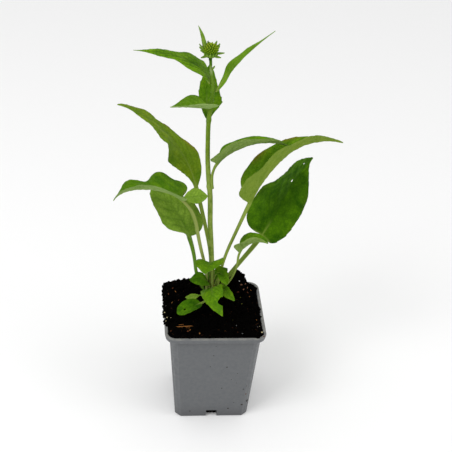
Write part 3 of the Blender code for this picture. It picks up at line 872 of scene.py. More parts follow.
black_soil = soil_finish()
rings, middle = soil_rings()
soil = link_mesh("potting_soil", loft_mesh("potting_soil", rings, middle), [black_soil])
finish_piece(soil, "soil", "soil")

# %% [markdown]
# On that skin lie loose lumps and crumbs, chips of bark, brown fibres and a few pale grains. Each kind has
# one plain colour of its own, because a pattern would be lost on things this small.

# %% Shapes for the loose bits
DENT_DEPTH = 0.35
DENT_SCALE = 1.7
FIBRE_RINGS = 7
FIBRE_SWAY = 0.25
FIBRE_BENDS = 2.2
FIBRE_TAPER = 0.6


def plain_finish(name, colour, roughness, gloss=0.05):
    """A finish of one colour."""
    made, _, shader = start_material(name, roughness)
    shader.inputs["Base Color"].default_value = (*colour, 1.0)
    shader.inputs["Specular IOR Level"].default_value = gloss
    return made


def crumb_shape(name, detail, stretch):
    """A knobbly lump two units across, squashed by the stretch."""
    shape = bmesh.new()
    bmesh.ops.create_icosphere(shape, subdivisions=detail, radius=1.0)
    for corner in shape.verts:
        corner.co *= 1 + DENT_DEPTH * noise.noise(corner.co * DENT_SCALE)
    bmesh.ops.scale(shape, vec=stretch, verts=shape.verts)
    return piece_from(shape, name)


def fibre_shape(name, sag, thickness):
    """A thin bent strand two units long, with four sides."""
    rings = []
    for step in range(FIBRE_RINGS):
        along = 2 * step / (FIBRE_RINGS - 1) - 1
        height = sag * (1 - along * along)
        sway = FIBRE_SWAY * math.sin(FIBRE_BENDS * along)
        radius = thickness * (1 - FIBRE_TAPER * abs(along))
        rings.append([(along, sway + radius * math.cos(a), height + radius * math.sin(a))
                      for a in (side * math.pi / 2 for side in range(4))])
    return link_mesh(name, loft_mesh(name, rings))


def guide(name, piece, keeps, cuts=0):
    """A surface for scattering: the piece's faces, cut finer where asked, that pass the test."""
    shape = bmesh.new()
    shape.from_mesh(piece.data)
    if cuts:
        bmesh.ops.subdivide_edges(shape, edges=shape.edges, cuts=cuts, use_grid_fill=True)
    others = [face for face in shape.faces if not keeps(face)]
    bmesh.ops.delete(shape, geom=others, context="FACES")
    return piece_from(shape, name)


# %% Scatter the loose bits
FACES_UP = 0.2
FIRST_SEED = 3
LYING_LEAN = 0.35
ANY_LEAN = 3.0

# Piece, shape, number to the square metre, smallest and largest half length, roughness, and colour
LOOSE_BITS = (
    ("soil_lumps", "lump", 42000, 0.0009, 0.0026, 0.00110, (0.0008, 0.0006, 0.0005)),
    ("soil_crumbs", "crumb", 330000, 0.0003, 0.0011, 0.00035, (0.0016, 0.0012, 0.0009)),
    ("brown_crumbs", "crumb", 7000, 0.0003, 0.0008, 0.00020, (0.024, 0.011, 0.005)),
    ("bark_chips", "chip", 4000, 0.0005, 0.0014, 0.00020, (0.034, 0.012, 0.006)),
    ("brown_fibres", "fibre", 5000, 0.0008, 0.0022, 0.0, (0.070, 0.030, 0.010)),
    ("pale_grains", "crumb", 500, 0.0003, 0.0004, 0.00015, (0.300, 0.270, 0.180)),
)
bit_shapes = {
    "lump": crumb_shape("lump", 2, (1.0, 1.0, 0.8)),
    "crumb": crumb_shape("crumb", 1, (1.0, 0.8, 0.8)),
    "chip": crumb_shape("chip", 1, (1.0, 0.45, 0.18)),
    "fibre": fibre_shape("fibre", 0.25, 0.06),
}
soil_top = guide("soil_top", soil, lambda face: face.normal.z >= FACES_UP)
ground = [soil]
for seed, (name, shape, density, smallest, largest, roughen, colour) in enumerate(LOOSE_BITS, FIRST_SEED):
    lean = LYING_LEAN if shape in ("fibre", "chip") else ANY_LEAN
    bits = scatter(name, soil_top, bit_shapes[shape], plain_finish(name, colour, 0.85, 0.01), Lean=lean,
                   Density=density, Smallest=smallest, Largest=largest, Roughen=roughen, Seed=seed)
    finish_piece(bits, "soil")
    ground.append(bits)

# %% Crumbs that lie on the lip
LIP_CRUMBS_X = -0.0408
LIP_CRUMBS_FRONT = -0.027
LIP_CRUMBS_BACK = 0.045
LIP_CRUMBS_RIGHT = -0.010
LIP_FACES_UP = 0.7
LIP_CUTS = 6


def crumbs_spilled_here(face):
    """On the flat top of the lip, along its left side and at the back on the left."""
    middle = face.calc_center_median()
    on_side = middle.x < LIP_CRUMBS_X and LIP_CRUMBS_FRONT < middle.y < LIP_CRUMBS_BACK
    on_back = middle.x < LIP_CRUMBS_RIGHT and middle.y > -LIP_CRUMBS_X
    on_top = face.normal.z >= LIP_FACES_UP and middle.z >= POT_HEIGHT - LIP_ROUND
    return on_top and (on_side or on_back)


lip_top = guide("lip_top", pot, crumbs_spilled_here, LIP_CUTS)
lip_crumb_finish = plain_finish("lip_crumbs", (0.0012, 0.0009, 0.0007), 0.9, 0.01)
spilled = scatter("lip_crumbs", lip_top, bit_shapes["lump"], lip_crumb_finish, Density=700000.0,
                  Smallest=0.0006, Largest=0.0019, Roughen=0.0016, Seed=21, Lean=ANY_LEAN)
finish_piece(spilled, "soil")
ground += [pot, spilled]
for helper in [soil_top, lip_top, *bit_shapes.values()]:
    bpy.data.objects.remove(helper)

# %% [markdown]
# Water leaves the pot through the notches at its foot. Behind each one sits a dark lump with the soil's
# finish, a painted shade that makes the opening look dark at its top. Each plug is a lump with a rough skin,
# and it stays clear of the notch's sides. A fixed seed for the noise gives the same skin each time.

# %% Soil behind the notches
PLUG_START = 0.0044
PLUG_END = 0.0100
PLUG_GAP = 0.0004
PLUG_ROUGHNESS = 0.0003
PLUG_NOISE_SCALE = 900
PLUG_CUTS = 7
PLUG_SEED = 5


def shade_plug(side):
    """A dark lump with a rough skin behind the notch of this side, a painted shade in the opening."""
    depth = BODY_FOOT_HALF - PLUG_END, BODY_FOOT_HALF - PLUG_START
    plug = side_box("plug", side, *depth, NOTCH_WIDTH - 2 * PLUG_GAP, PLUG_GAP, NOTCH_HEIGHT - PLUG_GAP)
    shape = bmesh.new()
    shape.from_mesh(plug.data)
    bmesh.ops.subdivide_edges(shape, edges=shape.edges, cuts=PLUG_CUTS, use_grid_fill=True)
    for corner in shape.verts:
        corner.co += PLUG_ROUGHNESS * noise.noise_vector(corner.co * PLUG_NOISE_SCALE)
    shape.to_mesh(plug.data)
    shape.free()
    return plug


# Painted shade: black lumps with the soil's finish darken the top of each notch
noise.seed_set(PLUG_SEED)
shade_plugs = [shade_plug(side) for side in range(4)]
finish_piece(join_meshes("drain_soil", [plug.data for plug in shade_plugs], [black_soil]), "soil")
for plug in shade_plugs:
    bpy.data.objects.remove(plug)

# %% [markdown]
# A few larger bits stand out in the photograph: cream grains, chips of bark, an orange straw and the specks
# of dirt that water has splashed on the pot. Each has its place in the photograph, and a line of sight
# through that place finds where it lies.

# %% Bits with a place in the photograph
BIT_COLOURS = {
    "cream": (0.42, 0.36, 0.20), "orange": (0.24, 0.10, 0.028), "red": (0.105, 0.034, 0.014),
    "pink": (0.190, 0.090, 0.055), "olive": (0.110, 0.110, 0.020), "white": (0.60, 0.60, 0.56),
    "grey": (0.100, 0.100, 0.100), "dirt": (0.030, 0.021, 0.015),
}

# For each colour: place in the photograph, length and width in millimetres, and turn in degrees
SOIL_BITS = {
    "cream": (
        (164.6, 312.5, 1.3, 0.9, 20), (161.8, 317.1, 1.2, 0.9, 70), (167.1, 317.5, 1.1, 0.8, 0),
        (170.9, 317.8, 1.0, 0.7, 40), (165.8, 321.0, 0.9, 0.7, 10), (262.0, 332.2, 1.2, 1.0, 0),
        (259.5, 326.5, 0.9, 0.5, 0),
    ),
    "orange": (
        (184.7, 326.4, 11.5, 0.7, 4), (186.0, 327.8, 6.0, 0.5, 178), (181.0, 324.6, 4.0, 0.4, 8),
        (190.0, 330.0, 2.0, 0.6, 60), (199.8, 333.2, 2.0, 0.9, 80), (175.5, 291.5, 2.0, 0.6, 120),
        (172.0, 302.5, 2.6, 0.5, 70), (251.0, 290.5, 2.4, 0.6, 120), (249.5, 296.5, 1.8, 0.5, 70),
        (256.5, 320.0, 1.6, 0.5, 100), (225.0, 331.0, 1.3, 0.5, 20),
    ),
    "red": (
        (170.6, 331.3, 2.2, 0.9, 60), (187.8, 331.2, 1.7, 1.0, 20), (173.0, 288.0, 2.4, 0.8, 50),
        (168.5, 294.0, 2.0, 0.8, 100), (179.0, 300.0, 1.8, 0.6, 30), (247.5, 292.5, 2.4, 0.8, 110),
        (238.5, 292.0, 2.6, 0.9, 10),
    ),
    "pink": (
        (241.0, 284.5, 2.4, 1.2, 150), (245.0, 283.8, 2.0, 1.0, 30), (247.3, 287.5, 2.2, 0.9, 80),
        (243.5, 289.5, 2.6, 0.9, 60),
    ),
    "olive": (
        (240.7, 297.5, 1.4, 0.8, 0), (241.8, 303.9, 1.2, 0.8, 30), (232.8, 320.0, 1.0, 0.5, 80),
    ),
    "white": (
        (239.3, 281.0, 1.0, 0.8, 0),
    ),
    "grey": (
        (236.2, 325.5, 1.3, 1.0, 0), (257.7, 327.0, 1.2, 0.9, 30), (242.4, 333.6, 1.1, 0.8, 0),
    ),
}
POT_SPECKS = {
    "dirt": (
        (213.7, 355.7, 0.9, 0.7, 0), (210.3, 366.7, 0.8, 0.6, 40), (227.0, 367.2, 1.1, 0.8, 20),
        (237.6, 373.4, 0.7, 0.6, 0), (231.4, 379.6, 0.7, 0.5, 80), (221.8, 388.2, 0.9, 0.7, 0),
        (243.4, 389.2, 1.0, 0.8, 60), (247.0, 400.5, 2.3, 1.9, 30), (241.6, 404.6, 1.6, 1.2, 0),
        (233.8, 402.6, 0.7, 0.6, 0), (228.0, 408.3, 1.5, 1.1, 0), (189.8, 411.0, 1.2, 0.9, 0),
        (246.6, 386.0, 0.8, 0.7, 0), (249.2, 388.5, 0.7, 0.6, 0), (216.0, 346.5, 0.6, 0.5, 0),
        (194.0, 352.0, 0.5, 0.5, 0), (236.5, 383.0, 0.6, 0.5, 0),
    ),
    "red": (
        (245.7, 394.0, 1.3, 1.0, 0), (264.0, 336.4, 1.6, 1.0, 80),
    ),
}

# %% Lay them where the photograph shows them
UPWARDS = Vector((0.0, 0.0, 1.0))
BIT_SWELL = 1.4
BIT_DENT = 0.25
BIT_DENT_SCALE = 3
BIT_PLACE_SCALE = 900


def lay_bit(shape, point, facing, size, turn):
    """Adds one dented lump at the point, and gives its faces."""
    corners = bmesh.ops.create_icosphere(shape, subdivisions=1, radius=0.5)["verts"]
    for corner in corners:
        corner.co *= 1 + BIT_DENT * noise.noise(corner.co * BIT_DENT_SCALE + point * BIT_PLACE_SCALE)
    turned_by = Matrix.Rotation(math.radians(turn), 4, "Z")
    move = Matrix.Translation(point) @ facing.to_matrix().to_4x4() @ turned_by @ Matrix.Diagonal((*size, 1))
    bmesh.ops.transform(shape, matrix=move, verts=corners)
    return {face for corner in corners for face in corner.link_faces}


def placed_bits(name, bits, surfaces, height_share, lies_flat):
    """One piece of lumps on the first surface in sight, each with the finish of its colour."""
    shape = bmesh.new()
    for number, colour in enumerate(BIT_COLOURS):
        for x, y, length, width, turn in bits.get(colour, ()):
            found = seen_on(surfaces, (x, y))
            if found is None:
                continue
            point, normal = found
            facing = UPWARDS.to_track_quat("Z", "X") if lies_flat else normal.to_track_quat("Z", "Y")
            size = BIT_SWELL * Vector((length, width, height_share * width)) / 1000
            for face in lay_bit(shape, point, facing, size, turn):
                face.material_index = number
    return piece_from(shape, name, bit_finishes)


bit_finishes = [plain_finish(f"bit_{label}", colour, 0.8) for label, colour in BIT_COLOURS.items()]
finish_piece(placed_bits("chips_on_soil", SOIL_BITS, ground, 0.9, True), "soil")
finish_piece(placed_bits("dirt_on_pot", POT_SPECKS, [pot], 0.3, False), "soil")

# %% [markdown]
# ## The rule of a leaf
# Every leaf follows one rule. Its rib sets out from the foot and turns and climbs by a few stated angles.
# First comes a stalk, then a blade in two halves. Each half has its width, the place where it is widest, how
# round its base and tip are, how far it folds up from the rib, how that fold grows to the edge, and how far
# its base reaches back.

# %% The leaves' own sizes
Half = namedtuple("Half", "width peak base tip fold curl lobe")
Leaf = namedtuple("Leaf", "foot length stalk stalk_half heading rise roll left right")
FOOT_Z = CROWN_Z + SOIL_CLEARANCE
LEAVES = {
    "leaf_top_left": Leaf(
        (-0.0108, 0.0195, 0.3130), 0.074, 0.02, 0.0010, (172, 170, 175), (72, 26, 3, 1), (2, 10, -21),
        Half(0.0100, 0.30, 0.9, 1.8, -12, -8, -0.25), Half(0.0180, 0.12, 0.6, 1.65, 5, -5, -0.42)),
    "leaf_top_right": Leaf(
        (-0.0056, 0.0195, 0.3060), 0.072, 0.03, 0.0010, (-3, 2, 8), (58, 62, 46, 42, 36), (12, 5, 0),
        Half(0.0047, 0.35, 1.4, 2.2, 42, 2, 0.0), Half(0.0036, 0.20, 0.7, 3.0, -5, 0, 0.0)),
    "leaf_behind_stem": Leaf(
        (-0.0103, 0.0226, 0.2780), 0.048, 0.02, 0.0010, (112, 89, 69), (68, 62, 54, 41), (1, -5),
        Half(0.0070, 0.38, 0.8, 0.9, 16, 1, 0.0), Half(0.0128, 0.26, 0.9, 0.7, 20, 3, -0.55)),
    "leaf_small_left": Leaf(
        (-0.0098, 0.0166, 0.2926), 0.0342, 0.03, 0.0010, (190, 186, 172), (8, 5, 1, -8), (7, -7),
        Half(0.0075, 0.16, 0.6, 0.8, 40, 0, 2.0), Half(0.0122, 0.34, 0.9, 1.6, 36, -1, -0.10)),
    "leaf_stem_right": Leaf(
        (-0.0042, 0.0190, 0.2130), 0.0985, 0.29, 0.0014, (-34, -29, 0, -10), (110, 63, 36, 6, -18),
        (17, -10, -3),
        Half(0.0080, 0.19, 0.8, 0.8, 40, 0, -0.15), Half(0.0216, 0.14, 0.8, 0.8, 34, -2, -0.28)),
    "leaf_tall_left": Leaf(
        (-0.0020, 0.0260, FOOT_Z), 0.213, 0.49, 0.0012, (145, 147, 159, 194), (96, 75, 73, 46, 19),
        (-35, 23, 2),
        Half(0.0255, 0.45, 1.7, 1.9, -5, -14, -0.45), Half(0.0150, 0.24, 1.0, 0.7, 12, 1, -0.35)),
    "leaf_arching_left": Leaf(
        (-0.0055, 0.0175, FOOT_Z), 0.1925, 0.61, 0.0014, (202, 217, 225, 174, 134), (94, 73, 77, 51, -9, -60),
        (-4, 21, -29),
        Half(0.0178, 0.10, 0.3, 1.1, 25, -5, -0.50), Half(0.0208, 0.16, 0.4, 1.1, 26, -5, 0.65)),
    "leaf_broad_left": Leaf(
        (-0.0060, 0.0211, FOOT_Z), 0.119, 0.50, 0.0019, (182, 171, 159, 130), (58, 84, 71, 50, 29),
        (6, -16, -2),
        Half(0.0253, 0.41, 0.8, 0.5, 14, 1, -0.50), Half(0.0200, 0.21, 0.9, 1.3, 25, 1, 0.85)),
    "leaf_long_right": Leaf(
        (0.0042, 0.0205, FOOT_Z), 0.2105, 0.48, 0.0016, (-14, -11, -2, -12), (88, 72, 71, 47, -10),
        (5, 10, -4),
        Half(0.0200, 0.16, 0.3, 1.6, 35, 0, -0.10), Half(0.0300, 0.15, 1.1, 0.8, 48, -3, -0.20)),
    "leaf_broad_right": Leaf(
        (0.0060, 0.0250, FOOT_Z), 0.152, 0.44, 0.0014, (-6, 13, 27, 12), (60, 52, 64, 47), (40, -6, -5),
        Half(0.0385, 0.38, 0.6, 0.5, -12, -4, 0.40), Half(0.0223, 0.60, 0.3, 1.9, -23, -6, 0.40)),
    "leaf_folded_right": Leaf(
        (0.0064, 0.0215, FOOT_Z), 0.082, 0.59, 0.0011, (-5, -14, -21, -26), (44, 69, 88, 42, -14),
        (2, 17, -20),
        Half(0.0093, 0.41, 0.5, 0.7, 31, -1, -0.10), Half(0.0173, 0.38, 1.2, 1.5, 48, 0, -0.10)),
    "crown_leaf_cupped": Leaf(
        (-0.0010, 0.0158, FOOT_Z), 0.063, 0.63, 0.0007, (240, 252, 253), (90, 92, 72, 15, -28), (10, -8),
        Half(0.0150, 0.49, 0.6, 2.0, 25, -2, 0.0), Half(0.0123, 0.54, 0.6, 0.5, 20, -3, 0.55)),
    "crown_leaf_curled": Leaf(
        (0.0010, 0.0184, 0.1180), 0.027, 0.32, 0.0006, (-53, -48), (87, 48, -27, -72), (18, 8),
        Half(0.0070, 0.37, 0.3, 1.1, 54, 8, 0.50), Half(0.0062, 0.63, 0.9, 0.7, 21, -6, -0.35)),
    "crown_leaf_left": Leaf(
        (-0.0030, 0.0146, FOOT_Z), 0.0362, 0.43, 0.0006, (238, 205, 188), (92, 84, 50, 8, -6), (-4, -4),
        Half(0.0118, 0.45, 0.6, 0.7, 1, -5, -0.25), Half(0.0072, 0.48, 0.6, 1.3, 22, 2, 0.0)),
    "crown_leaf_front": Leaf(
        (0.0002, 0.0143, FOOT_Z), 0.057, 0.19, 0.0009, (-112, -89, -53), (84, 25, -18, -30), (12, -1),
        Half(0.0105, 0.30, 0.8, 0.9, 17, 2, -0.40), Half(0.0105, 0.26, 0.3, 0.9, -8, -6, 0.70)),
    "crown_leaf_right": Leaf(
        (0.0018, 0.0162, FOOT_Z), 0.034, 0.32, 0.0006, (-56, -50), (78, 37, -15, -30), (-1, 7),
        Half(0.0044, 0.21, 0.6, 0.6, 28, 5, 0.10), Half(0.0070, 0.58, 1.0, 0.9, 15, 1, -0.10)),
    "crown_leaf_tiny": Leaf(
        (-0.0048, 0.0150, FOOT_Z), 0.022, 0.41, 0.0005, (212, 182), (20, 0, -4), (2, -6),
        Half(0.0059, 0.57, 0.9, 1.1, 2, -3, -0.35), Half(0.0032, 0.45, 0.7, 0.9, 12, 0, -0.05)),
    "crown_leaf_low": Leaf(
        (-0.0016, 0.0133, FOOT_Z), 0.0495, 0.52, 0.0007, (272, 165), (36, 7, -3, -32), (0, -10),
        Half(0.0092, 0.70, 0.5, 0.5, 6, 0, -0.30), Half(0.0080, 0.45, 0.6, 0.5, 20, 5, 0.35)),
    "crown_leaf_back_right": Leaf(
        (0.0024, 0.0233, FOOT_Z), 0.028, 0.32, 0.0006, (60, 50), (80, 45, 10, -20), (5, -5),
        Half(0.0065, 0.45, 0.6, 0.9, 22, 0, 0.10), Half(0.0058, 0.40, 0.6, 0.9, 18, 0, 0.10)),
    "crown_leaf_back_left": Leaf(
        (0.0005, 0.0250, FOOT_Z), 0.024, 0.30, 0.0006, (95, 114), (74, 34, 0, -25), (-5, 5),
        Half(0.0056, 0.42, 0.6, 0.9, 20, 0, 0.10), Half(0.0055, 0.45, 0.6, 0.9, 24, 0, 0.10)),
}
BASAL_LOBE = Leaf(
    (0.0, 0.0, 0.0), 0.0226, 0.10, 0.0009, (-1, 0, 1), (15, 8, -2), (4, 4),
    Half(0.0096, 0.53, 0.8, 1.0, 11, 0, 0.0), Half(0.0107, 0.48, 0.6, 0.6, 3, -2, 0.0))

# %% The stem that the leaves keep clear of
STEM_Y = 0.020

# Height, place to the right and radius
STEM_STATIONS = (
    (FOOT_Z, -0.0005, 0.0033), (0.106, -0.0005, 0.0027), (0.110, -0.0006, 0.0023), (0.122, -0.0010, 0.0021),
    (0.134, -0.0017, 0.0020), (0.153, -0.0030, 0.0020), (0.175, -0.0047, 0.0019), (0.208, -0.0063, 0.0019),
    (0.224, -0.0082, 0.0018), (0.239, -0.0095, 0.0017), (0.258, -0.0102, 0.0016), (0.278, -0.0103, 0.0016),
    (0.297, -0.0086, 0.0016), (0.309, -0.0078, 0.0015), (0.3245, -0.0103, 0.0013), (0.3345, -0.0110, 0.0013),
)
STEM_HEIGHTS, STEM_PLACES, STEM_RADII = zip(*STEM_STATIONS)

# %% [markdown]
# The functions below work on whole rows of numbers at once. A leaf is a grid: rows run along the rib and
# columns run from the right edge over the top to the left edge, then back along the underside.

# %% Rib and outline
RIB_POINTS = 241
LOBE_REACH = 0.45
LOBE_POWER = 1.5


def rib_frames(leaf, shares):
    """The rib's points at these shares of its length, with the ways along, left and up there."""
    fine = np.linspace(0.0, 1.0, RIB_POINTS)
    heading = np.radians(np.interp(fine, np.linspace(0, 1, len(leaf.heading)), leaf.heading))
    rise = np.radians(np.interp(fine, np.linspace(0, 1, len(leaf.rise)), leaf.rise))
    blade = np.clip((fine - leaf.stalk) / (1 - leaf.stalk), 0, 1)
    roll = np.radians(np.interp(blade, np.linspace(0, 1, len(leaf.roll)), leaf.roll))[:, None]
    along = np.stack([np.cos(rise) * np.cos(heading), np.cos(rise) * np.sin(heading), np.sin(rise)], axis=1)
    up = np.stack([-np.sin(rise) * np.cos(heading), -np.sin(rise) * np.sin(heading), np.cos(rise)], axis=1)
    left = np.stack([-np.sin(heading), np.cos(heading), np.zeros_like(heading)], axis=1)
    steps = (along[1:] + along[:-1]) / 2 * leaf.length / (RIB_POINTS - 1)
    centre = np.vstack([np.zeros(3), np.cumsum(steps, axis=0)]) + np.array(leaf.foot)
    rolled_left = np.cos(roll) * left + np.sin(roll) * up
    rolled_up = np.cos(roll) * up - np.sin(roll) * left
    return [np.stack([np.interp(shares, fine, way[:, axis]) for axis in range(3)], axis=1)
            for way in (centre, along, rolled_left, rolled_up)]


def outline(half, t):
    """How wide this half is at share t of the blade, against its widest."""
    widening = np.sin(np.pi / 2 * np.clip(t / half.peak, 0, 1)) ** half.base
    narrowing = np.cos(np.pi / 2 * np.clip((t - half.peak) / (1 - half.peak), 0, 1)) ** half.tip
    return np.where(t < half.peak, widening, narrowing)


def half_surface(half, side, t, out, ways):
    """Points and normals of one half's upper face, a row for each t and a column for each share out."""
    centre, along, left, up = (way[:, None, :] for way in ways)
    fans = np.radians(half.fold + half.curl * np.linspace(0, 1, 5)[None, :] * out[:, None])
    across = (np.cos(fans).mean(axis=1) * out)[None, :, None]
    lift = (np.sin(fans).mean(axis=1) * out)[None, :, None]
    reach = np.clip(1 - t / LOBE_REACH, 0, 1) ** LOBE_POWER
    back = half.lobe * reach[:, None, None] * (out**LOBE_POWER)[None, :, None]
    width = (half.width * outline(half, t))[:, None, None]
    points = centre + width * (side * across * left + lift * up - back * along)
    last = np.radians(half.fold + half.curl * out)[None, :, None]
    normals = np.cos(last) * up - side * np.sin(last) * left
    return points, normals


# %% [markdown]
# ## Veins, waves and teeth
# A coneflower leaf has a strong midrib and a few side veins that leave it at a low angle and bend towards
# the tip. They are sunk in the upper face and stand out below. The edge has small, uneven teeth and hangs in
# gentle waves. All of it is worked out from the same two numbers: how far along the blade a point lies, and
# how far out.

# %% Vein pattern
SIDE_VEINS = 6.0
VEIN_SWEEP = 0.52
VEIN_BEND = 1.25
VEIN_EASE = 0.55
VEIN_THINNEST = 0.011
VEIN_THICKENING = 0.009
VEIN_STRENGTH = 0.85
VEIN_END = 1.2
RIB_WIDTH = 0.07
RIB_END = 1.25
QUILT_ONSET = 8


def vein_start(t, out):
    """How far along the blade a side vein left the rib, if it passes through row t at share out."""
    return t[:, None] - VEIN_SWEEP * out[None, :] ** VEIN_BEND * (1 - VEIN_EASE * t[:, None])


def vein_mask(t, out, shift):
    """1 on a vein and 0 away from one, for rows t and columns out, from 0 at the rib to 1 at the edge."""
    start = vein_start(t, out)
    phase = start * SIDE_VEINS + shift
    away = np.abs(phase - np.round(phase)) / SIDE_VEINS
    thin = VEIN_THINNEST + VEIN_THICKENING * (1 - out[None, :])
    side = np.exp(-((away / thin) ** 2)) * np.clip(VEIN_END - out[None, :], 0, 1) * (start > 0.0)
    rib = np.exp(-((out[None, :] / RIB_WIDTH) ** 2)) * np.ones_like(t)[:, None]
    return np.maximum(side * VEIN_STRENGTH, rib * np.clip(RIB_END - t[:, None], 0, 1))


def quilt(t, out, shift):
    """The blade swells softly between its side veins, and less towards its tip."""
    start = vein_start(t, out)
    swell = 0.5 - 0.5 * np.cos(2 * np.pi * (start * SIDE_VEINS + shift))
    across = np.sin(np.pi * np.clip(out, 0, 1))[None, :]
    return swell * across * np.clip(start * QUILT_ONSET, 0, 1) * (1 - t**2)[:, None]


# %% [markdown]
# Teeth follow the distance along the blade. The finest swellings follow noise in space, so that no two
# leaves share them. Where the photograph shows the waves of an edge clearly, the leaf has waves of its own.

# %% Teeth, waves and pucker
TOOTH_SPACING = 0.0065
TOOTH_DRIFT = 0.35
TOOTH_DRIFT_RATE = 130
TOOTH_DEPTH = 0.00085
TOOTH_EVENNESS = 0.6
TOOTH_DEPTH_RATE = 90
TOOTH_CENTRE = 0.4
PUCKER_SCALE = 330.0

# How long an edge's waves are, then how high they are and where they start, on the left and on the right
Wave = namedtuple("Wave", "length left_rise left_start right_rise right_start")
PLAIN_WAVE = Wave(0.030, 0.0010, 0.0, 0.0010, 2.1)
EDGE_WAVES = {
    "leaf_arching_left": Wave(0.028, 0.0006, 2.2, 0.0034, 1.57),
    "leaf_top_right": Wave(0.023, 0.0048, 1.57, 0.0010, 2.4),
    "leaf_broad_right": Wave(0.034, 0.0012, 1.2, 0.0014, 3.6),
    "leaf_tall_left": Wave(0.026, 0.0007, 2.0, 0.0010, 0.9),
}


def teeth(distance, draw):
    """A saw-like edge: slow rise, quick fall, uneven in spacing and depth."""
    drift = TOOTH_DRIFT * np.sin(distance * TOOTH_DRIFT_RATE + draw.uniform(0, 6))
    phase = distance / TOOTH_SPACING + drift
    saw = phase - np.floor(phase)
    swing = np.sin(distance * TOOTH_DEPTH_RATE + draw.uniform(0, 6))
    depth = TOOTH_DEPTH * (TOOTH_EVENNESS + (1 - TOOTH_EVENNESS) * swing)
    return depth * (saw**2 - TOOTH_CENTRE)


def pucker(points):
    """Small uneven swellings of the skin between the finest veins."""
    flat = points.reshape(-1, 3) * PUCKER_SCALE
    return np.array([noise.noise(Vector(point)) for point in flat]).reshape(points.shape[:2])


# %% [markdown]
# ## From rule to mesh
# The rows of a leaf lie about a millimetre apart, and its columns crowd towards the edge, where the teeth
# are. A point that would come too near the stem is moved straight out from it, so that no blade cuts through
# the stem.

# %% Rows and columns
ROW_SPACING = 0.0009
STALK_ROW_SPACING = 1.6 * ROW_SPACING
END_CROWDING = 0.35

# What the two halves share: rows t, columns out, how far the blade has taken over from the stalk, the
# distance from the start of the blade, and the rib's frames
Rows = namedtuple("Rows", "t out blade distance ways")


def clear_of_stem(points, gap):
    """Moves points that come too near the stem straight out from it."""
    place = np.interp(points[..., 2], STEM_HEIGHTS, STEM_PLACES)
    radius = np.interp(points[..., 2], STEM_HEIGHTS, STEM_RADII) + gap
    away = points[..., :2] - np.stack([place, np.full(place.shape, STEM_Y)], axis=-1)
    distance = np.maximum(np.linalg.norm(away, axis=-1), 1e-6)
    push = np.where(points[..., 2] < STEM_HEIGHTS[-1], np.maximum(radius - distance, 0.0), 0.0)
    moved = points.copy()
    moved[..., :2] += away * (push / distance)[..., None]
    return moved


def leaf_rows(leaf):
    """Shares of the length for each row, and t along the blade, closest where the blade starts and ends."""
    stalk_rows = max(1, round(leaf.stalk * leaf.length / STALK_ROW_SPACING))
    blade_rows = round((1 - leaf.stalk) * leaf.length / ROW_SPACING)
    even = np.linspace(0, 1, blade_rows + 1)[:-1]
    t = END_CROWDING * (1 - np.cos(np.pi * even)) / 2 + (1 - END_CROWDING) * even
    stalk = np.linspace(0, leaf.stalk, stalk_rows + 1)[:-1]
    shares = np.concatenate([stalk, leaf.stalk + t * (1 - leaf.stalk)])
    return shares, np.concatenate([np.zeros(stalk_rows), t])


# %% [markdown]
# The colours of a blade follow its veins, its rib and its edge. Three masks say where, each with a number
# from 0 to 1 at every point: dark veins, the pale rib and stalk, and a reddish, worn edge. On the broad right
# leaf the dark mask also carries a painted shade: a broken dark band along the rib and across its right half.

# %% Where a half is dark, pale or reddish
LEFT = 1
RIGHT = -1
BLUSH_POWER = 7
PALE_RIB_REACH = 0.55
PALE_RIB_WIDTH = 0.0005
PALE_RIB_STRENGTH = 0.75
SHORT_RIBS = {"leaf_broad_right": 0.22, "crown_leaf_low": 0.3, "leaf_top_left": 0.12}
STALK_COLOUR_END = 0.03
STALK_PALENESS = 0.6
STALK_EDGE = 0.75
STALK_EDGE_WIDTH = 0.2
# Painted shade beside the rib: its strength on each leaf, its place and width across the half, its reach and
# its breaks
RIB_PAINTED_SHADES = {"leaf_broad_right": 1.0}
SHADE_PLACE = 0.36
SHADE_WIDTH = 0.24
SHADE_REACH = 1.2
SHADE_BREAKS = 0.22
SHADE_BREAK_RATE = 520
WORN_RATE = 210
PLAIN_BLUSH = (0.08, 0.08)
BLUSH = {"leaf_tall_left": (0.0, 0.8), "leaf_long_right": (0.8, 0.0)}


def half_masks(name, side, rows, width, vein, start):
    """Where this half is dark, pale or reddish, each from 0 to 1. The dark mask holds the veins and, on the
    broad right leaf, a painted shade beside the rib.
    """
    across, blade = rows.out[None, :], rows.blade[:, None]
    from_shade = (across - SHADE_PLACE * (side == RIGHT)) / SHADE_WIDTH
    broken = 1 - SHADE_BREAKS + SHADE_BREAKS * np.sin(rows.distance * SHADE_BREAK_RATE)
    uneven = np.sin(np.pi * np.clip(rows.t * SHADE_REACH, 0, 1)) * broken
    # painted shade beside the rib, mixed into the dark vein mask
    painted_shade = RIB_PAINTED_SHADES.get(name, 0.0) * np.exp(-(from_shade**2)) * uneven[:, None] * blade
    fading = np.clip(1 - rows.t / SHORT_RIBS.get(name, PALE_RIB_REACH), 0, 1)[:, None]
    rib = np.exp(-((across * width[:, None]) / PALE_RIB_WIDTH) ** 2) * fading
    ridge = np.exp(-(((across - STALK_EDGE) / STALK_EDGE_WIDTH) ** 2))
    paleness = STALK_PALENESS + (1 - STALK_PALENESS) * ridge
    stalk = paleness * np.clip(1 - rows.t / STALK_COLOUR_END, 0, 1)[:, None]
    worn = 0.5 + 0.5 * np.sin(rows.distance * WORN_RATE + start)
    blush = BLUSH.get(name, PLAIN_BLUSH)[0 if side == LEFT else 1]
    return {"vein": np.maximum(vein, painted_shade),
            "stalk": np.maximum(PALE_RIB_STRENGTH * rib, stalk),
            "blush": blush * (rows.blade * worn)[:, None] * across**BLUSH_POWER}


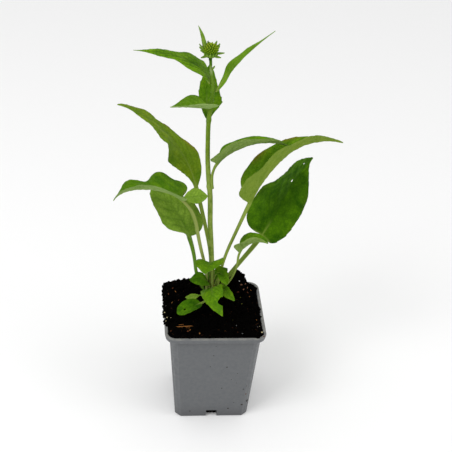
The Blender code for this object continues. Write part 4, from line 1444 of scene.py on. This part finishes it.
# %% [markdown]
# Each half gets its relief along the way its face points: waves at the edge, sunken veins, soft swellings
# between them and a fine pucker. The underside lies one thickness below, with a keel under the rib.

# %% One half of a blade
VEIN_DEPTH = 0.00060
QUILT_RISE = 0.00085
PUCKER_RISE = 0.00042
BLADE_THICKNESS = 0.00042
EDGE_THINNING = 0.6
VEIN_STANDS_OUT = 0.6
VEIN_SHALLOWING = 0.6
KEEL_DEPTH = 0.0011
KEEL_WIDTH = 0.0011
KEEL_TAPER = 0.75
TOOTHED_WIDTH = 0.004
BROAD_WIDTH = 0.012
TOOTH_POWER = 6


def blade_half(name, leaf, side, rows, draw):
    """One half's upper and lower points, and its masks."""
    half = leaf.left if side == LEFT else leaf.right
    wave = EDGE_WAVES.get(name, PLAIN_WAVE)
    rise, start = (wave.left_rise, wave.left_start) if side == LEFT else (wave.right_rise, wave.right_start)
    shift = draw.uniform(0, 1)
    across, along, blade = rows.out[None, :], rows.t[:, None], rows.blade[:, None]
    width = half.width * outline(half, rows.t)
    broad = np.clip(width / BROAD_WIDTH, 0, 1)[:, None]
    vein = vein_mask(rows.t, rows.out, shift) * blade
    points, normals = half_surface(half, side, rows.t, rows.out, rows.ways)
    toothed = teeth(rows.distance, draw) * np.clip(width / TOOTHED_WIDTH, 0, 1)
    edge = toothed[:, None] * across**TOOTH_POWER
    swing = (rise * np.sin(2 * np.pi * rows.distance / wave.length + start))[:, None] * broad * across**2
    skin = QUILT_RISE * quilt(rows.t, rows.out, shift)
    skin = skin - VEIN_DEPTH * vein * (1 - VEIN_SHALLOWING * along)
    lift = swing + broad * (skin + PUCKER_RISE * pucker(points) * blade)
    top = points + edge[..., None] * side * rows.ways[2][:, None, :] + lift[..., None] * normals
    keel = KEEL_DEPTH * np.exp(-((across * width[:, None]) / KEEL_WIDTH) ** 2) * (1 - KEEL_TAPER * along)
    thick = BLADE_THICKNESS * (1 - EDGE_THINNING * across**3)
    thick = thick + VEIN_DEPTH * VEIN_STANDS_OUT * vein * broad + keel
    under = top - (thick * blade)[..., None] * normals
    return top, under, half_masks(name, side, rows, width, vein, start)


# %% [markdown]
# The stalk is a rounded bar with a shallow channel on top. Over the first third of the blade it melts into
# the midrib. With both halves and the stalk in place, each row closes to a ring.

# %% The stalk, and the whole grid
COLUMNS = 20
SMALL_LEAF = 0.05
SMALL_LEAF_COLUMNS = 12
EDGE_CROWDING = 0.85
STALK_FADE = 0.30
STEM_GAP = 0.0004
STALK_TOP = 0.55
STALK_BELLY = 0.85
CHANNEL = 0.35
STALK_SWELL = 0.42
STALK_SWELL_END = 0.25
STALK_FLARE = 0.30
LEAST_STALK = 0.02


def add_stalk(leaf, climbed, side, rows, top, under):
    """Both faces of one half with the stalk's bar added, until the blade has taken over."""
    swell = 1 + STALK_SWELL * np.clip(climbed / STALK_SWELL_END, 0, 1) + STALK_FLARE * climbed**4
    wide = (leaf.stalk_half * swell * (1 - rows.blade))[:, None, None]
    turn = (rows.out * np.pi / 2)[None, :, None]
    left, up = rows.ways[2][:, None, :], rows.ways[3][:, None, :]
    aside = side * wide * np.sin(turn) * left
    top = top + aside + wide * (STALK_TOP * np.cos(turn) - CHANNEL * np.cos(turn) ** 3) * up
    return top, under + aside - wide * STALK_BELLY * np.cos(turn) * up


def closed_rows(right_top, left_top, left_under, right_under):
    """Each row as a ring: from the right edge over the top to the left edge, and back underneath."""
    return np.concatenate(
        [right_top[:, :0:-1], left_top, left_under[:, -2:0:-1], right_under[:, :-1]], axis=1)


def leaf_grid(leaf, seed, name=""):
    """Rings of points, the masks of those points, and how many points of a ring lie on the upper face."""
    draw = random.Random(seed)
    shares, t = leaf_rows(leaf)
    columns = COLUMNS if leaf.length > SMALL_LEAF else SMALL_LEAF_COLUMNS
    out = np.linspace(0, 1, columns + 1) ** EDGE_CROWDING
    rows = Rows(t, out, np.clip(t / STALK_FADE, 0, 1), t * (1 - leaf.stalk) * leaf.length,
                rib_frames(leaf, shares))
    climbed = np.clip(shares / max(leaf.stalk, LEAST_STALK), 0, 1)
    tops, unders, masks = {}, {}, {}
    for side in (RIGHT, LEFT):
        top, under, masks[side] = blade_half(name, leaf, side, rows, draw)
        tops[side], unders[side] = add_stalk(leaf, climbed, side, rows, top, under)
    rings = closed_rows(tops[RIGHT], tops[LEFT], unders[LEFT], unders[RIGHT])
    ring_masks = {}
    for label, right in masks[RIGHT].items():
        left = masks[LEFT][label]
        ring_masks[label] = closed_rows(right, left, left, right)
    return clear_of_stem(rings, STEM_GAP), ring_masks, 2 * columns + 1


# %% [markdown]
# A leaf's mesh has two finishes, one for its upper face and one for its paler underside. One more ring at
# its foot goes further in, so that a stalk enters the soil and a stem leaf clasps the stem. The masks go on
# the mesh as attributes, which the finishes read.

# %% One leaf's mesh
SINK = 0.0022
CLASP = 0.7


def rooted(rings, leaf):
    """One more ring before the first: into the soil under a crown leaf, into the stem at a stem leaf."""
    first = rings[0].copy()
    if leaf.foot[2] < FOOT_Z + 0.001:
        first[:, 2] -= SINK
    else:
        place = np.interp(first[:, 2], STEM_HEIGHTS, STEM_PLACES)
        inward = np.stack([place, np.full(len(place), STEM_Y)], axis=1) - first[:, :2]
        first[:, :2] += CLASP * inward
    return np.concatenate([first[None], rings])


def add_masks(mesh, masks):
    """Each mask becomes a number for every point of the mesh. The tip's is 0."""
    for label, values in masks.items():
        layer = mesh.attributes.new(label, "FLOAT", "POINT")
        layer.data.foreach_set("value", np.append(values.ravel(), 0.0).astype(np.float32))


def tip_of(leaf):
    return rib_frames(leaf, np.array([1.0]))[0][0]


def leaf_mesh(name, leaf, seed):
    """The closed mesh, whose faces take the first finish above and the second below."""
    rings, masks, top_count = leaf_grid(leaf, seed, name.removesuffix("_blade"))
    rings = rooted(rings, leaf)
    mesh = loft_mesh(name, rings, tip_of(leaf))
    add_masks(mesh, {label: np.concatenate([rows[:1], rows]) for label, rows in masks.items()})
    place_in_ring = np.arange(len(mesh.polygons)) % rings.shape[1]
    below = (place_in_ring >= top_count - 1).astype(np.int32)
    below[-1] = 0
    mesh.polygons.foreach_set("material_index", below)
    return mesh


# %% [markdown]
# ## Leaf colours
# The group below is shared by every leaf finish. It lays soft patches of two greens, draws the veins from
# the mesh's own mask, and turns to the stalk's colour on the stalk and on the pale part of the rib. Old
# leaves are deep green, young ones at the crown are brighter, and all are pale and dull underneath, where
# fine hairs scatter the light.

# %% Group: the skin of a leaf
NET_SCALE = 330.0
NET_WIDTH = 0.16


def net_mask(tree, share):
    """The finest veins: thin lines between the cells of a leaf, as strong as the share says."""
    place = add_node(tree, "ShaderNodeTexCoord")
    cells = add_node(tree, "ShaderNodeTexVoronoi", {"Scale": NET_SCALE}, feature="DISTANCE_TO_EDGE")
    line = add_node(tree, "ShaderNodeMapRange", {"From Max": NET_WIDTH, "To Min": 1.0, "To Max": 0.0})
    wire(tree, place, "Object", cells, "Vector")
    wire(tree, cells, "Distance", line, "Value")
    return math_node(tree, "MULTIPLY", line.outputs["Result"], share)


def build_leaf_skin():
    """Two greens in patches, then the fine net, the veins, the hairs, the worn edge and the stalk on top."""
    group, start, end = start_group(
        "leaf_skin",
        [("Light", COLOUR, (0.1, 0.3, 0.02, 1)), ("Dark", COLOUR, (0.05, 0.2, 0.01, 1)),
         ("Vein", COLOUR, (0.2, 0.3, 0.05, 1)), ("Stalk", COLOUR, (0.2, 0.3, 0.05, 1)),
         ("Hair", COLOUR, (0.3, 0.4, 0.2, 1)), ("Hair Share", FLOAT, 0.3),
         ("Blush", COLOUR, (0.23, 0.13, 0.02, 1)),
         ("Vein Share", FLOAT, 0.5), ("Net Share", FLOAT, 0.45), ("Scale", FLOAT, 70.0),
         ("Relief", FLOAT, 0.00012)],
        [("Color", COLOUR), ("Normal", VECTOR), ("Mask", FLOAT)])
    cloud = use_group(group, patches, {"Balance": 0.5})
    fine = use_group(group, relief, {"Scale": 1100.0, "Strength": 0.7})
    vein = add_node(group, "ShaderNodeAttribute", attribute_name="vein")
    stalk = add_node(group, "ShaderNodeAttribute", attribute_name="stalk")
    blush = add_node(group, "ShaderNodeAttribute", attribute_name="blush")
    stipple = use_group(group, patches, {"Scale": 1150.0, "Balance": 0.60})
    wire(group, start, "Light", cloud, "Light")
    wire(group, start, "Dark", cloud, "Dark")
    wire(group, start, "Scale", cloud, "Scale")
    wire(group, start, "Relief", fine, "Depth")
    on_vein = math_node(group, "MULTIPLY", vein.outputs["Fac"], start.outputs["Vein Share"])
    on_hair = math_node(group, "MULTIPLY", stipple.outputs["Mask"], start.outputs["Hair Share"])
    colour = cloud.outputs["Color"]
    for mask, label in ((net_mask(group, start.outputs["Net Share"]), "Vein"), (on_vein, "Vein"),
                        (on_hair, "Hair"), (blush.outputs["Fac"], "Blush"), (stalk.outputs["Fac"], "Stalk")):
        colour = mix_colours(group, mask, colour, start.outputs[label])
    join(group, colour, end.inputs["Color"])
    wire(group, fine, "Normal", end, "Normal")
    wire(group, cloud, "Mask", end, "Mask")
    return group


leaf_skin = build_leaf_skin()

# %% Leaf finishes
LEAF_GLOSS = 0.03
STALK_COLOUR = (0.230, 0.310, 0.055)


def leaf_finish(name, light, dark, vein, hair, shares, scale, roughness, stalk=STALK_COLOUR):
    """Shares are those of the vein's colour on a vein and of the hairs' colour on a speck."""
    made, tree, shader = start_material(name, roughness)
    shader.inputs["Specular IOR Level"].default_value = LEAF_GLOSS
    skin = use_group(tree, leaf_skin, {
        "Light": light, "Dark": dark, "Vein": vein, "Stalk": stalk, "Hair": hair,
        "Vein Share": shares[0], "Hair Share": shares[1], "Scale": scale})
    wire(tree, skin, "Color", shader, "Base Color")
    wire(tree, skin, "Normal", shader, "Normal")
    add_wear(tree, shader, skin.outputs["Mask"], roughness - 0.06, roughness + 0.1)
    return made


# On the leaves' upper finishes the vein colour is a dark green: partly the veins' own colour, partly a
# painted shade in the sunken veins and in the fine net. Underneath the veins are pale.
upper_deep = leaf_finish("leaf_upper_deep", (0.074, 0.190, 0.0015), (0.014, 0.068, 0.0008),
                         (0.016, 0.064, 0.0010), (0.120, 0.230, 0.015), (0.75, 0.30), 85.0, 0.74)
upper_fresh = leaf_finish("leaf_upper_fresh", (0.128, 0.265, 0.0020), (0.042, 0.135, 0.0010),
                          (0.036, 0.120, 0.0012), (0.170, 0.290, 0.040), (0.65, 0.40), 95.0, 0.56)
upper_bright = leaf_finish("leaf_upper_bright", (0.165, 0.310, 0.012), (0.080, 0.185, 0.004),
                           (0.050, 0.140, 0.0020), (0.210, 0.330, 0.070), (0.60, 0.40), 95.0, 0.58)
upper_lined = leaf_finish("leaf_upper_lined", (0.150, 0.300, 0.0050), (0.062, 0.165, 0.0020),
                          (0.014, 0.060, 0.0010), (0.170, 0.290, 0.040), (0.95, 0.40), 95.0, 0.56)
upper_soft = leaf_finish("leaf_upper_soft", (0.230, 0.370, 0.036), (0.130, 0.250, 0.014),
                         (0.060, 0.145, 0.008), (0.240, 0.340, 0.080), (0.65, 0.40), 80.0, 0.60,
                         (0.110, 0.230, 0.016))
upper_olive = leaf_finish("leaf_upper_olive", (0.175, 0.265, 0.006), (0.078, 0.175, 0.003),
                          (0.062, 0.130, 0.003), (0.230, 0.320, 0.060), (0.55, 0.45), 65.0, 0.58)
underside = leaf_finish("leaf_underside", (0.205, 0.315, 0.055), (0.135, 0.240, 0.030),
                        (0.270, 0.370, 0.110), (0.320, 0.420, 0.190), (0.50, 0.45), 85.0, 0.66)
under_green = leaf_finish("leaf_underside_green", (0.140, 0.265, 0.030), (0.090, 0.200, 0.018),
                          (0.200, 0.310, 0.060), (0.240, 0.350, 0.100), (0.50, 0.40), 85.0, 0.64)
under_pale = leaf_finish("leaf_underside_pale", (0.270, 0.390, 0.120), (0.200, 0.320, 0.075),
                         (0.290, 0.410, 0.120), (0.340, 0.460, 0.200), (0.50, 0.45), 85.0, 0.66)
under_olive = leaf_finish("leaf_underside_olive", (0.165, 0.250, 0.020), (0.110, 0.195, 0.012),
                          (0.230, 0.310, 0.050), (0.260, 0.340, 0.090), (0.50, 0.40), 85.0, 0.64)
under_dark = leaf_finish("leaf_underside_dark", (0.100, 0.200, 0.018), (0.065, 0.150, 0.010),
                         (0.160, 0.260, 0.040), (0.220, 0.320, 0.080), (0.50, 0.35), 85.0, 0.64,
                         (0.095, 0.205, 0.020))
print("leaf finishes are ready")

# %% [markdown]
# ## Grow the leaves
# Each leaf of the frame gets its finished mesh. Insects have eaten holes in two leaves and a bite out of a
# third, and cylinders set square to the blade cut them. The arching leaf also has a small lobe at the foot
# of its blade.

# %% Holes, bites and the finish of each leaf
# For each cut, how far along the blade and how far out it is, and its radius
HOLES = {
    "leaf_broad_right": ((0.665, 0.13, 0.0014), (0.88, 0.375, 0.0009)),
    "crown_leaf_low": ((0.67, 0.15, 0.0014),),
    "crown_leaf_front": ((0.72, 1.0, 0.0042), (0.66, 0.85, 0.0022)),
}
TAN_STALK = (0.255, 0.300, 0.075)
# Painted shade: the arching leaf's upper face is the fresh finish with both greens painted about a fifth
# darker, and a tan stalk
shaded_fresh_top = leaf_finish("leaf_upper_arched", (0.104, 0.220, 0.0014), (0.032, 0.108, 0.0008),
                         (0.036, 0.120, 0.0012), (0.170, 0.290, 0.040), (0.65, 0.40), 95.0, 0.56,
                         TAN_STALK)
arched_under = leaf_finish("leaf_underside_arched", (0.205, 0.315, 0.075), (0.135, 0.240, 0.040),
                           (0.270, 0.370, 0.110), (0.320, 0.420, 0.190), (0.50, 0.45), 85.0, 0.66,
                           TAN_STALK)

# The finish above and below, for the leaves that don't have the deep green one and the plain underside
UPPER = {
    "leaf_tall_left": upper_olive, "leaf_top_right": upper_bright, "leaf_top_left": upper_lined,
    "leaf_stem_right": upper_fresh, "leaf_arching_left": shaded_fresh_top, "leaf_folded_right": upper_fresh,
    "leaf_small_left": upper_bright, "leaf_long_right": upper_fresh, "leaf_broad_left": upper_soft,
    "leaf_behind_stem": upper_fresh,
    "crown_leaf_tiny": upper_soft, "crown_leaf_cupped": upper_fresh, "crown_leaf_front": upper_fresh,
    "crown_leaf_right": upper_fresh, "crown_leaf_curled": upper_fresh,
}
LOWER = {"leaf_long_right": under_olive, "leaf_arching_left": arched_under, "leaf_small_left": under_pale,
         "leaf_broad_left": under_dark, "leaf_top_right": under_green}

HOLE_DEPTH = 0.012
HOLE_SIDES = 20
HOLE_UNEVENNESS = 0.10
HOLE_WAVES = 3
HOLE_TURN = 900


def hole_cutter(leaf, place):
    """A cylinder through the left half of the blade, with a slightly uneven edge."""
    t, out, radius = place
    ways = rib_frames(leaf, np.array([leaf.stalk + t * (1 - leaf.stalk)]))
    points, normals = half_surface(leaf.left, LEFT, np.array([t]), np.array([out]), ways)
    shape = bmesh.new()
    bmesh.ops.create_cone(
        shape, cap_ends=True, segments=HOLE_SIDES, radius1=radius, radius2=radius, depth=HOLE_DEPTH)
    for corner in shape.verts:
        angle = math.atan2(corner.co.y, corner.co.x)
        corner.co.xy *= 1 + HOLE_UNEVENNESS * math.sin(HOLE_WAVES * angle + radius * HOLE_TURN)
    turn = Vector(normals[0, 0]).to_track_quat("Z", "Y").to_matrix().to_4x4()
    bmesh.ops.transform(shape, matrix=Matrix.Translation(Vector(points[0, 0])) @ turn, verts=shape.verts)
    return piece_from(shape, "hole")


# %% Grow them
LONG_STALK = 0.045
LOBED_LEAF = "leaf_arching_left"
LOBE_START = 0.0016
LOBE_SEED = 31

for seed, (name, leaf) in enumerate(LEAVES.items()):
    finishes = UPPER.get(name, upper_deep), LOWER.get(name, underside)
    blade = link_mesh(f"{name}_blade", leaf_mesh(f"{name}_blade", leaf, seed), finishes)
    if name in HOLES:
        cut(blade, [hole_cutter(leaf, place) for place in HOLES[name]], "DIFFERENCE")
    covers = [name]
    if leaf.stalk * leaf.length > LONG_STALK:
        covers.append(f"{name}_stalk")
    finish_piece(blade, "leaf", *covers)

lobed = LEAVES[LOBED_LEAF]
lobe_foot = rib_frames(lobed, np.array([lobed.stalk + LOBE_START / lobed.length]))[0][0]
lobe = BASAL_LOBE._replace(foot=tuple(lobe_foot))
lobe_mesh = leaf_mesh("basal_lobe", lobe, LOBE_SEED)
finish_piece(link_mesh("basal_lobe", lobe_mesh, [upper_soft, underside]), "leaf")

# %% [markdown]
# ## The stem
# The stem is a ribbed, bristly rod that leans to the left and bends where leaves leave it. A finer loft than
# the frame's gives it eight shallow ribs and a swelling at each leaf. Its foot is tinged brown, its middle
# is pale and its upper part a deeper green, so its colour changes with height.

# %% The stem's mesh
STEM_SIDES = 32
STEM_STEP = 0.0012
STEM_RIBS = 8
RIB_HEIGHT = 0.045
SWELL = 0.00045
SWELL_SPREAD = 0.0022
SWELL_OVER_LEAF = 0.001
STEM_SINK = 0.003
STEM_BARK = 0.00025
BARK_TOP = 0.295
BARK_FADE = 0.02
THINNED_TOP = -0.5
CROWN_REACH = 0.02
LEAF_HEIGHTS = [leaf.foot[2] for leaf in LEAVES.values() if leaf.foot[2] > FOOT_Z + CROWN_REACH]


def smooth(heights, stations):
    """A cubic curve through the stations at these heights, so that the stem has no kinks."""
    known, values = np.array(STEM_HEIGHTS), np.array(stations)
    slopes = np.gradient(values, known)
    index = np.clip(np.searchsorted(known, heights) - 1, 0, len(known) - 2)
    span = known[index + 1] - known[index]
    s = np.clip((heights - known[index]) / span, 0, 1)
    return ((2 * s**3 - 3 * s**2 + 1) * values[index] + (s**3 - 2 * s**2 + s) * span * slopes[index]
            + (3 * s**2 - 2 * s**3) * values[index + 1] + (s**3 - s**2) * span * slopes[index + 1])


def stem_rings():
    """Ribbed rings from inside the soil to the bud's neck, a little thicker in the lower part."""
    heights = np.arange(FOOT_Z - STEM_SINK, STEM_HEIGHTS[-1] + STEM_STEP, STEM_STEP)
    place = smooth(heights, STEM_PLACES)
    bark = STEM_BARK * np.clip((BARK_TOP - heights) / BARK_FADE, THINNED_TOP, 1)
    radius = smooth(heights, STEM_RADII) + bark
    for height in LEAF_HEIGHTS:
        away = (heights - height - SWELL_OVER_LEAF) / SWELL_SPREAD
        radius = radius + SWELL * np.exp(-(away**2))
    angles = np.arange(STEM_SIDES) * 2 * np.pi / STEM_SIDES
    ribs = 1 + RIB_HEIGHT * np.cos(STEM_RIBS * angles)
    x = place[:, None] + radius[:, None] * ribs * np.cos(angles)
    y = STEM_Y + radius[:, None] * ribs * np.sin(angles)
    return np.stack([x, y, np.repeat(heights[:, None], STEM_SIDES, axis=1)], axis=2)


# %% The stem's finish
def stem_finish(name, stops, dark):
    """Changes with height through these stops, each a height and a colour, with darker patches."""
    made, tree, shader = start_material(name, 0.55)
    height = height_on_piece(tree)
    graded = stops[0][1]
    for (low, _), (high, colour) in zip(stops, stops[1:]):
        graded = mix_colours(tree, share_between(tree, height, low, high), graded, colour)
    cloud = use_group(tree, patches, {"Scale": 240.0, "Dark": dark, "Balance": 0.58})
    join(tree, graded, cloud.inputs["Light"])
    wire(tree, cloud, "Color", shader, "Base Color")
    add_relief(tree, shader, 1600.0, 0.00012, 0.7)
    shader.inputs["Specular IOR Level"].default_value = LEAF_GLOSS
    return made


stem_green = stem_finish("stem_green", (
    (0.108, (0.120, 0.105, 0.010)), (0.128, (0.250, 0.330, 0.062)), (0.225, (0.250, 0.335, 0.066)),
    (0.250, (0.175, 0.260, 0.026)), (0.283, (0.150, 0.240, 0.020)), (0.298, (0.085, 0.180, 0.010)),
    (0.320, (0.120, 0.215, 0.020)), (0.325, (0.270, 0.350, 0.140)), (0.328, (0.220, 0.300, 0.100)),
    (0.330, (0.045, 0.125, 0.005))), (0.110, 0.200, 0.016))
stem = link_mesh("stem", loft_mesh("stem", stem_rings()), [stem_green])
finish_piece(stem, "stem", "main_stem")

# %% [markdown]
# Coneflower stems feel rough because of short stiff hairs. The scatter tree stands a thin spike on each
# point it drops on the stem, square to the surface.

# %% Hairs on the stem
SPIKE_THICKNESS = 0.07
SPIKE_TIP = (0.15, 0.0, 1.0)


def turned(profile, sides, x=0.0, y=0.0):
    """Rings round an upright axis at this place. The profile gives a radius and a height for each."""
    angles = [side * 2 * math.pi / sides for side in range(sides)]
    return [[(x + radius * math.cos(a), y + radius * math.sin(a), height) for a in angles]
            for radius, height in profile]


spike = link_mesh("spike", loft_mesh("spike", turned([(SPIKE_THICKNESS, 0.0)], 3), SPIKE_TIP))
hair_finish = plain_finish("hair_pale", (0.42, 0.50, 0.30), 0.6)
hairs = scatter("stem_hairs", stem, spike, hair_finish, standing=True, Density=700000.0,
                Smallest=0.0003, Largest=0.0009, Lean=0.5, Seed=11)
finish_piece(hairs, "stem")
bpy.data.objects.remove(spike)

# %% [markdown]
# ## The flower bud
# The bud is a flattened dome. Its young florets sit in two families of spirals, because each new one turns
# by the golden angle from the last and is pushed outwards. That is a rule for Geometry Nodes: the index of a
# point gives its turn and its distance from the middle.

# %% The bud's head
BUD_X = -0.0113
BUD_Y = 0.020
BUD_Z = 0.3433
NECK_FOOT = STEM_HEIGHTS[-1] - 0.0006
NECK_RADIUS = 0.0013
BUD_SIDES = 32
BUD_TOP = BUD_Z + 0.0041
BUD_PROFILE = (
    (NECK_RADIUS, NECK_FOOT), (NECK_RADIUS, BUD_Z - 0.0080), (0.0019, BUD_Z - 0.0072),
    (0.0034, BUD_Z - 0.0064), (0.0049, BUD_Z - 0.0050), (0.0056, BUD_Z - 0.0032),
    (0.0054, BUD_Z - 0.0012), (0.0050, BUD_Z + 0.0006), (0.0041, BUD_Z + 0.0022),
    (0.0028, BUD_Z + 0.0033), (0.0014, BUD_Z + 0.0039),
)

# Painted shade: the head under the florets is a dark green, darker towards its foot, so that the gaps between
# florets look shaded
bud_green = stem_finish("bud_green", (
    (BUD_Z - 0.006, (0.030, 0.085, 0.004)), (BUD_Z, (0.060, 0.130, 0.008))), (0.035, 0.090, 0.004))
bud_mesh = loft_mesh("bud_head", turned(BUD_PROFILE, BUD_SIDES, BUD_X, BUD_Y), (BUD_X, BUD_Y, BUD_TOP))
bud = link_mesh("bud_head", bud_mesh, [bud_green])
finish_piece(bud, "bud", "flower_bud")

# %% Spirals of florets
SPIRAL_SPREAD = 2.0
GOLDEN_ANGLE = math.pi * (3 - math.sqrt(5))
FLORET_LEANS_UP = 0.0025
FLORET_SIDES = 6


def spiral_tree():
    """Points on a dome by the golden angle, each with a floret that leans outwards."""
    tree, ids, start, end = start_tree("floret_spiral", (
        ("Shape", OBJECT, None), ("Count", WHOLE, 100), ("Radius", FLOAT, 0.006),
        ("Rise", FLOAT, 0.004), ("Size", FLOAT, 0.001), ("Finish", MATERIAL, None)))
    dots = add_node(tree, "GeometryNodePoints")
    index = add_node(tree, "GeometryNodeInputIndex").outputs[0]
    turn = math_node(tree, "MULTIPLY", index, GOLDEN_ANGLE)
    share = math_node(tree, "SQRT", math_node(tree, "DIVIDE", index, start.outputs["Count"]))
    slope = math_node(tree, "MULTIPLY", share, SPIRAL_SPREAD)
    reach = math_node(tree, "MULTIPLY", math_node(tree, "SINE", slope), start.outputs["Radius"])
    x = math_node(tree, "MULTIPLY", reach, math_node(tree, "COSINE", turn))
    y = math_node(tree, "MULTIPLY", reach, math_node(tree, "SINE", turn))
    z = math_node(tree, "MULTIPLY", math_node(tree, "COSINE", slope), start.outputs["Rise"])
    wire(tree, start, "Count", dots, "Count")
    join(tree, vector_of(tree, x, y, z), dots.inputs["Position"])
    away = vector_of(tree, x, y, math_node(tree, "ADD", z, FLORET_LEANS_UP))
    aim = add_node(tree, "FunctionNodeAlignRotationToVector", axis="Z")
    join(tree, away, aim.inputs["Vector"])
    copies = copies_on(tree, start, dots.outputs["Points"], aim.outputs["Rotation"], start.outputs["Size"])
    lift = add_node(tree, "GeometryNodeTransform", {"Translation": (BUD_X, BUD_Y, BUD_Z)})
    join(tree, copies, lift.inputs["Geometry"])
    close_tree(tree, start, end, made_real(tree, lift.outputs["Geometry"]))
    return tree, ids


def floret_shape(name):
    """A plump, pointed scale one unit high."""
    rings = turned(((0.28, -0.4), (0.40, 0.0), (0.34, 0.45), (0.14, 0.85)), FLORET_SIDES)
    return link_mesh(name, loft_mesh(name, rings, (0.0, 0.0, 1.15)))


# %% Set the florets on the dome
FLORETS = 84

floret = floret_shape("floret")
floret_finish = stem_finish("floret_yellow_green", (
    (BUD_Z - 0.003, (0.075, 0.190, 0.006)), (BUD_Z + 0.001, (0.185, 0.310, 0.008)),
    (BUD_Z + 0.005, (0.300, 0.380, 0.025))), (0.120, 0.235, 0.006))
florets = grow("bud_florets", bud, *spiral_tree(), {
    "Shape": floret, "Count": FLORETS, "Radius": 0.0052, "Rise": 0.0043, "Size": 0.0018,
    "Finish": floret_finish})
finish_piece(florets, "bud")
bpy.data.objects.remove(floret)

# %% [markdown]
# Narrow green bracts close round the bud like a cup. Some turn their tips out, and short ones lie close to
# its front. One is long and stands up like a small leaf, and another sits lower on the stem. They are leaves
# by the same rule, with no stalk.

# %% Bracts
# Heading in degrees, how far out from the bud's middle and how far below it, climb, then length and half
# width, with lengths in millimetres
BRACTS = (
    (185, 5.0, 0.0, (45, 51, 57), 7.0, 1.2), (45, 4.6, -1.0, (58, 62, 66), 5.5, 1.1),
    (20, 5.0, 0.0, (50, 57, 64), 5.4, 1.2), (-8, 4.4, 3.0, (4, 9, 14), 7.4, 1.1),
    (-40, 3.4, 4.6, (2, 6, 10), 7.6, 1.2), (215, 3.4, 4.6, (-4, 0, 4), 7.0, 1.2),
    (110, 4.6, -1.0, (70, 78, 85), 4.8, 1.1), (150, 4.8, -0.5, (55, 63, 70), 5.0, 1.1),
    (60, 3.6, 4.4, (4, 10, 12), 7.0, 1.2), (100, 3.6, 4.2, (6, 10, 14), 6.8, 1.2),
    (140, 3.6, 4.4, (2, 8, 10), 7.2, 1.2), (95, 4.6, 2.0, (30, 40, 45), 6.0, 1.2),
    (35, 4.6, 2.2, (25, 35, 45), 6.0, 1.1), (160, 4.6, 2.2, (20, 34, 44), 6.2, 1.1),
    (208, 4.0, 5.2, (40, 74, 84), 4.2, 1.3), (236, 4.0, 5.3, (42, 74, 84), 4.0, 1.4),
    (264, 4.0, 5.2, (38, 72, 82), 4.3, 1.4), (291, 4.0, 5.3, (42, 74, 84), 4.0, 1.4),
    (318, 4.0, 5.2, (38, 70, 80), 4.4, 1.3), (343, 4.2, 4.6, (38, 66, 74), 4.2, 1.2),
)
BRACT_HALF = Half(0.0012, 0.30, 0.6, 1.1, 18, 0, 0.0)
BRACT_FOOT_HALF = 0.0006
FIRST_BRACT_SEED = 40


def bract(start, length, heading, rise, half_width, roll=0):
    """A leaf with no stalk, straight seen from above, with two equal halves."""
    half = BRACT_HALF._replace(width=half_width)
    return Leaf(start, length, 0.0, BRACT_FOOT_HALF, (heading, heading), rise, (roll, roll), half, half)


bracts = []
for heading, seat, drop, rise, length, half_width in BRACTS:
    turn = math.radians(heading)
    aside = (seat * math.cos(turn), seat * math.sin(turn), -drop)
    start = tuple(place + move / 1000 for place, move in zip((BUD_X, BUD_Y, BUD_Z), aside))
    bracts.append(bract(start, length / 1000, heading, rise, half_width / 1000))
bracts.append(bract((BUD_X - 0.0046, BUD_Y, BUD_Z - 0.001), 0.0226, 173, (84, 74, 64), 0.0019, 80))
bracts.append(bract((BUD_X + 0.0013, BUD_Y - 0.0005, 0.3262), 0.0042, -5, (40, 52, 60), 0.0010))
bract_upper = leaf_finish("bract_upper", (0.140, 0.260, 0.012), (0.070, 0.165, 0.004),
                          (0.190, 0.300, 0.060), (0.260, 0.360, 0.120), (0.3, 0.35), 220.0, 0.58)


def bract_mesh(number, leaf):
    rings, masks, _ = leaf_grid(leaf, FIRST_BRACT_SEED + number)
    mesh = loft_mesh(f"bract_{number}", rings, tip_of(leaf))
    add_masks(mesh, masks)
    return mesh


bract_meshes = [bract_mesh(number, leaf) for number, leaf in enumerate(bracts)]
finish_piece(join_meshes("bud_bracts", bract_meshes, [bract_upper]), "bud")
for mesh in bract_meshes:
    bpy.data.meshes.remove(mesh)
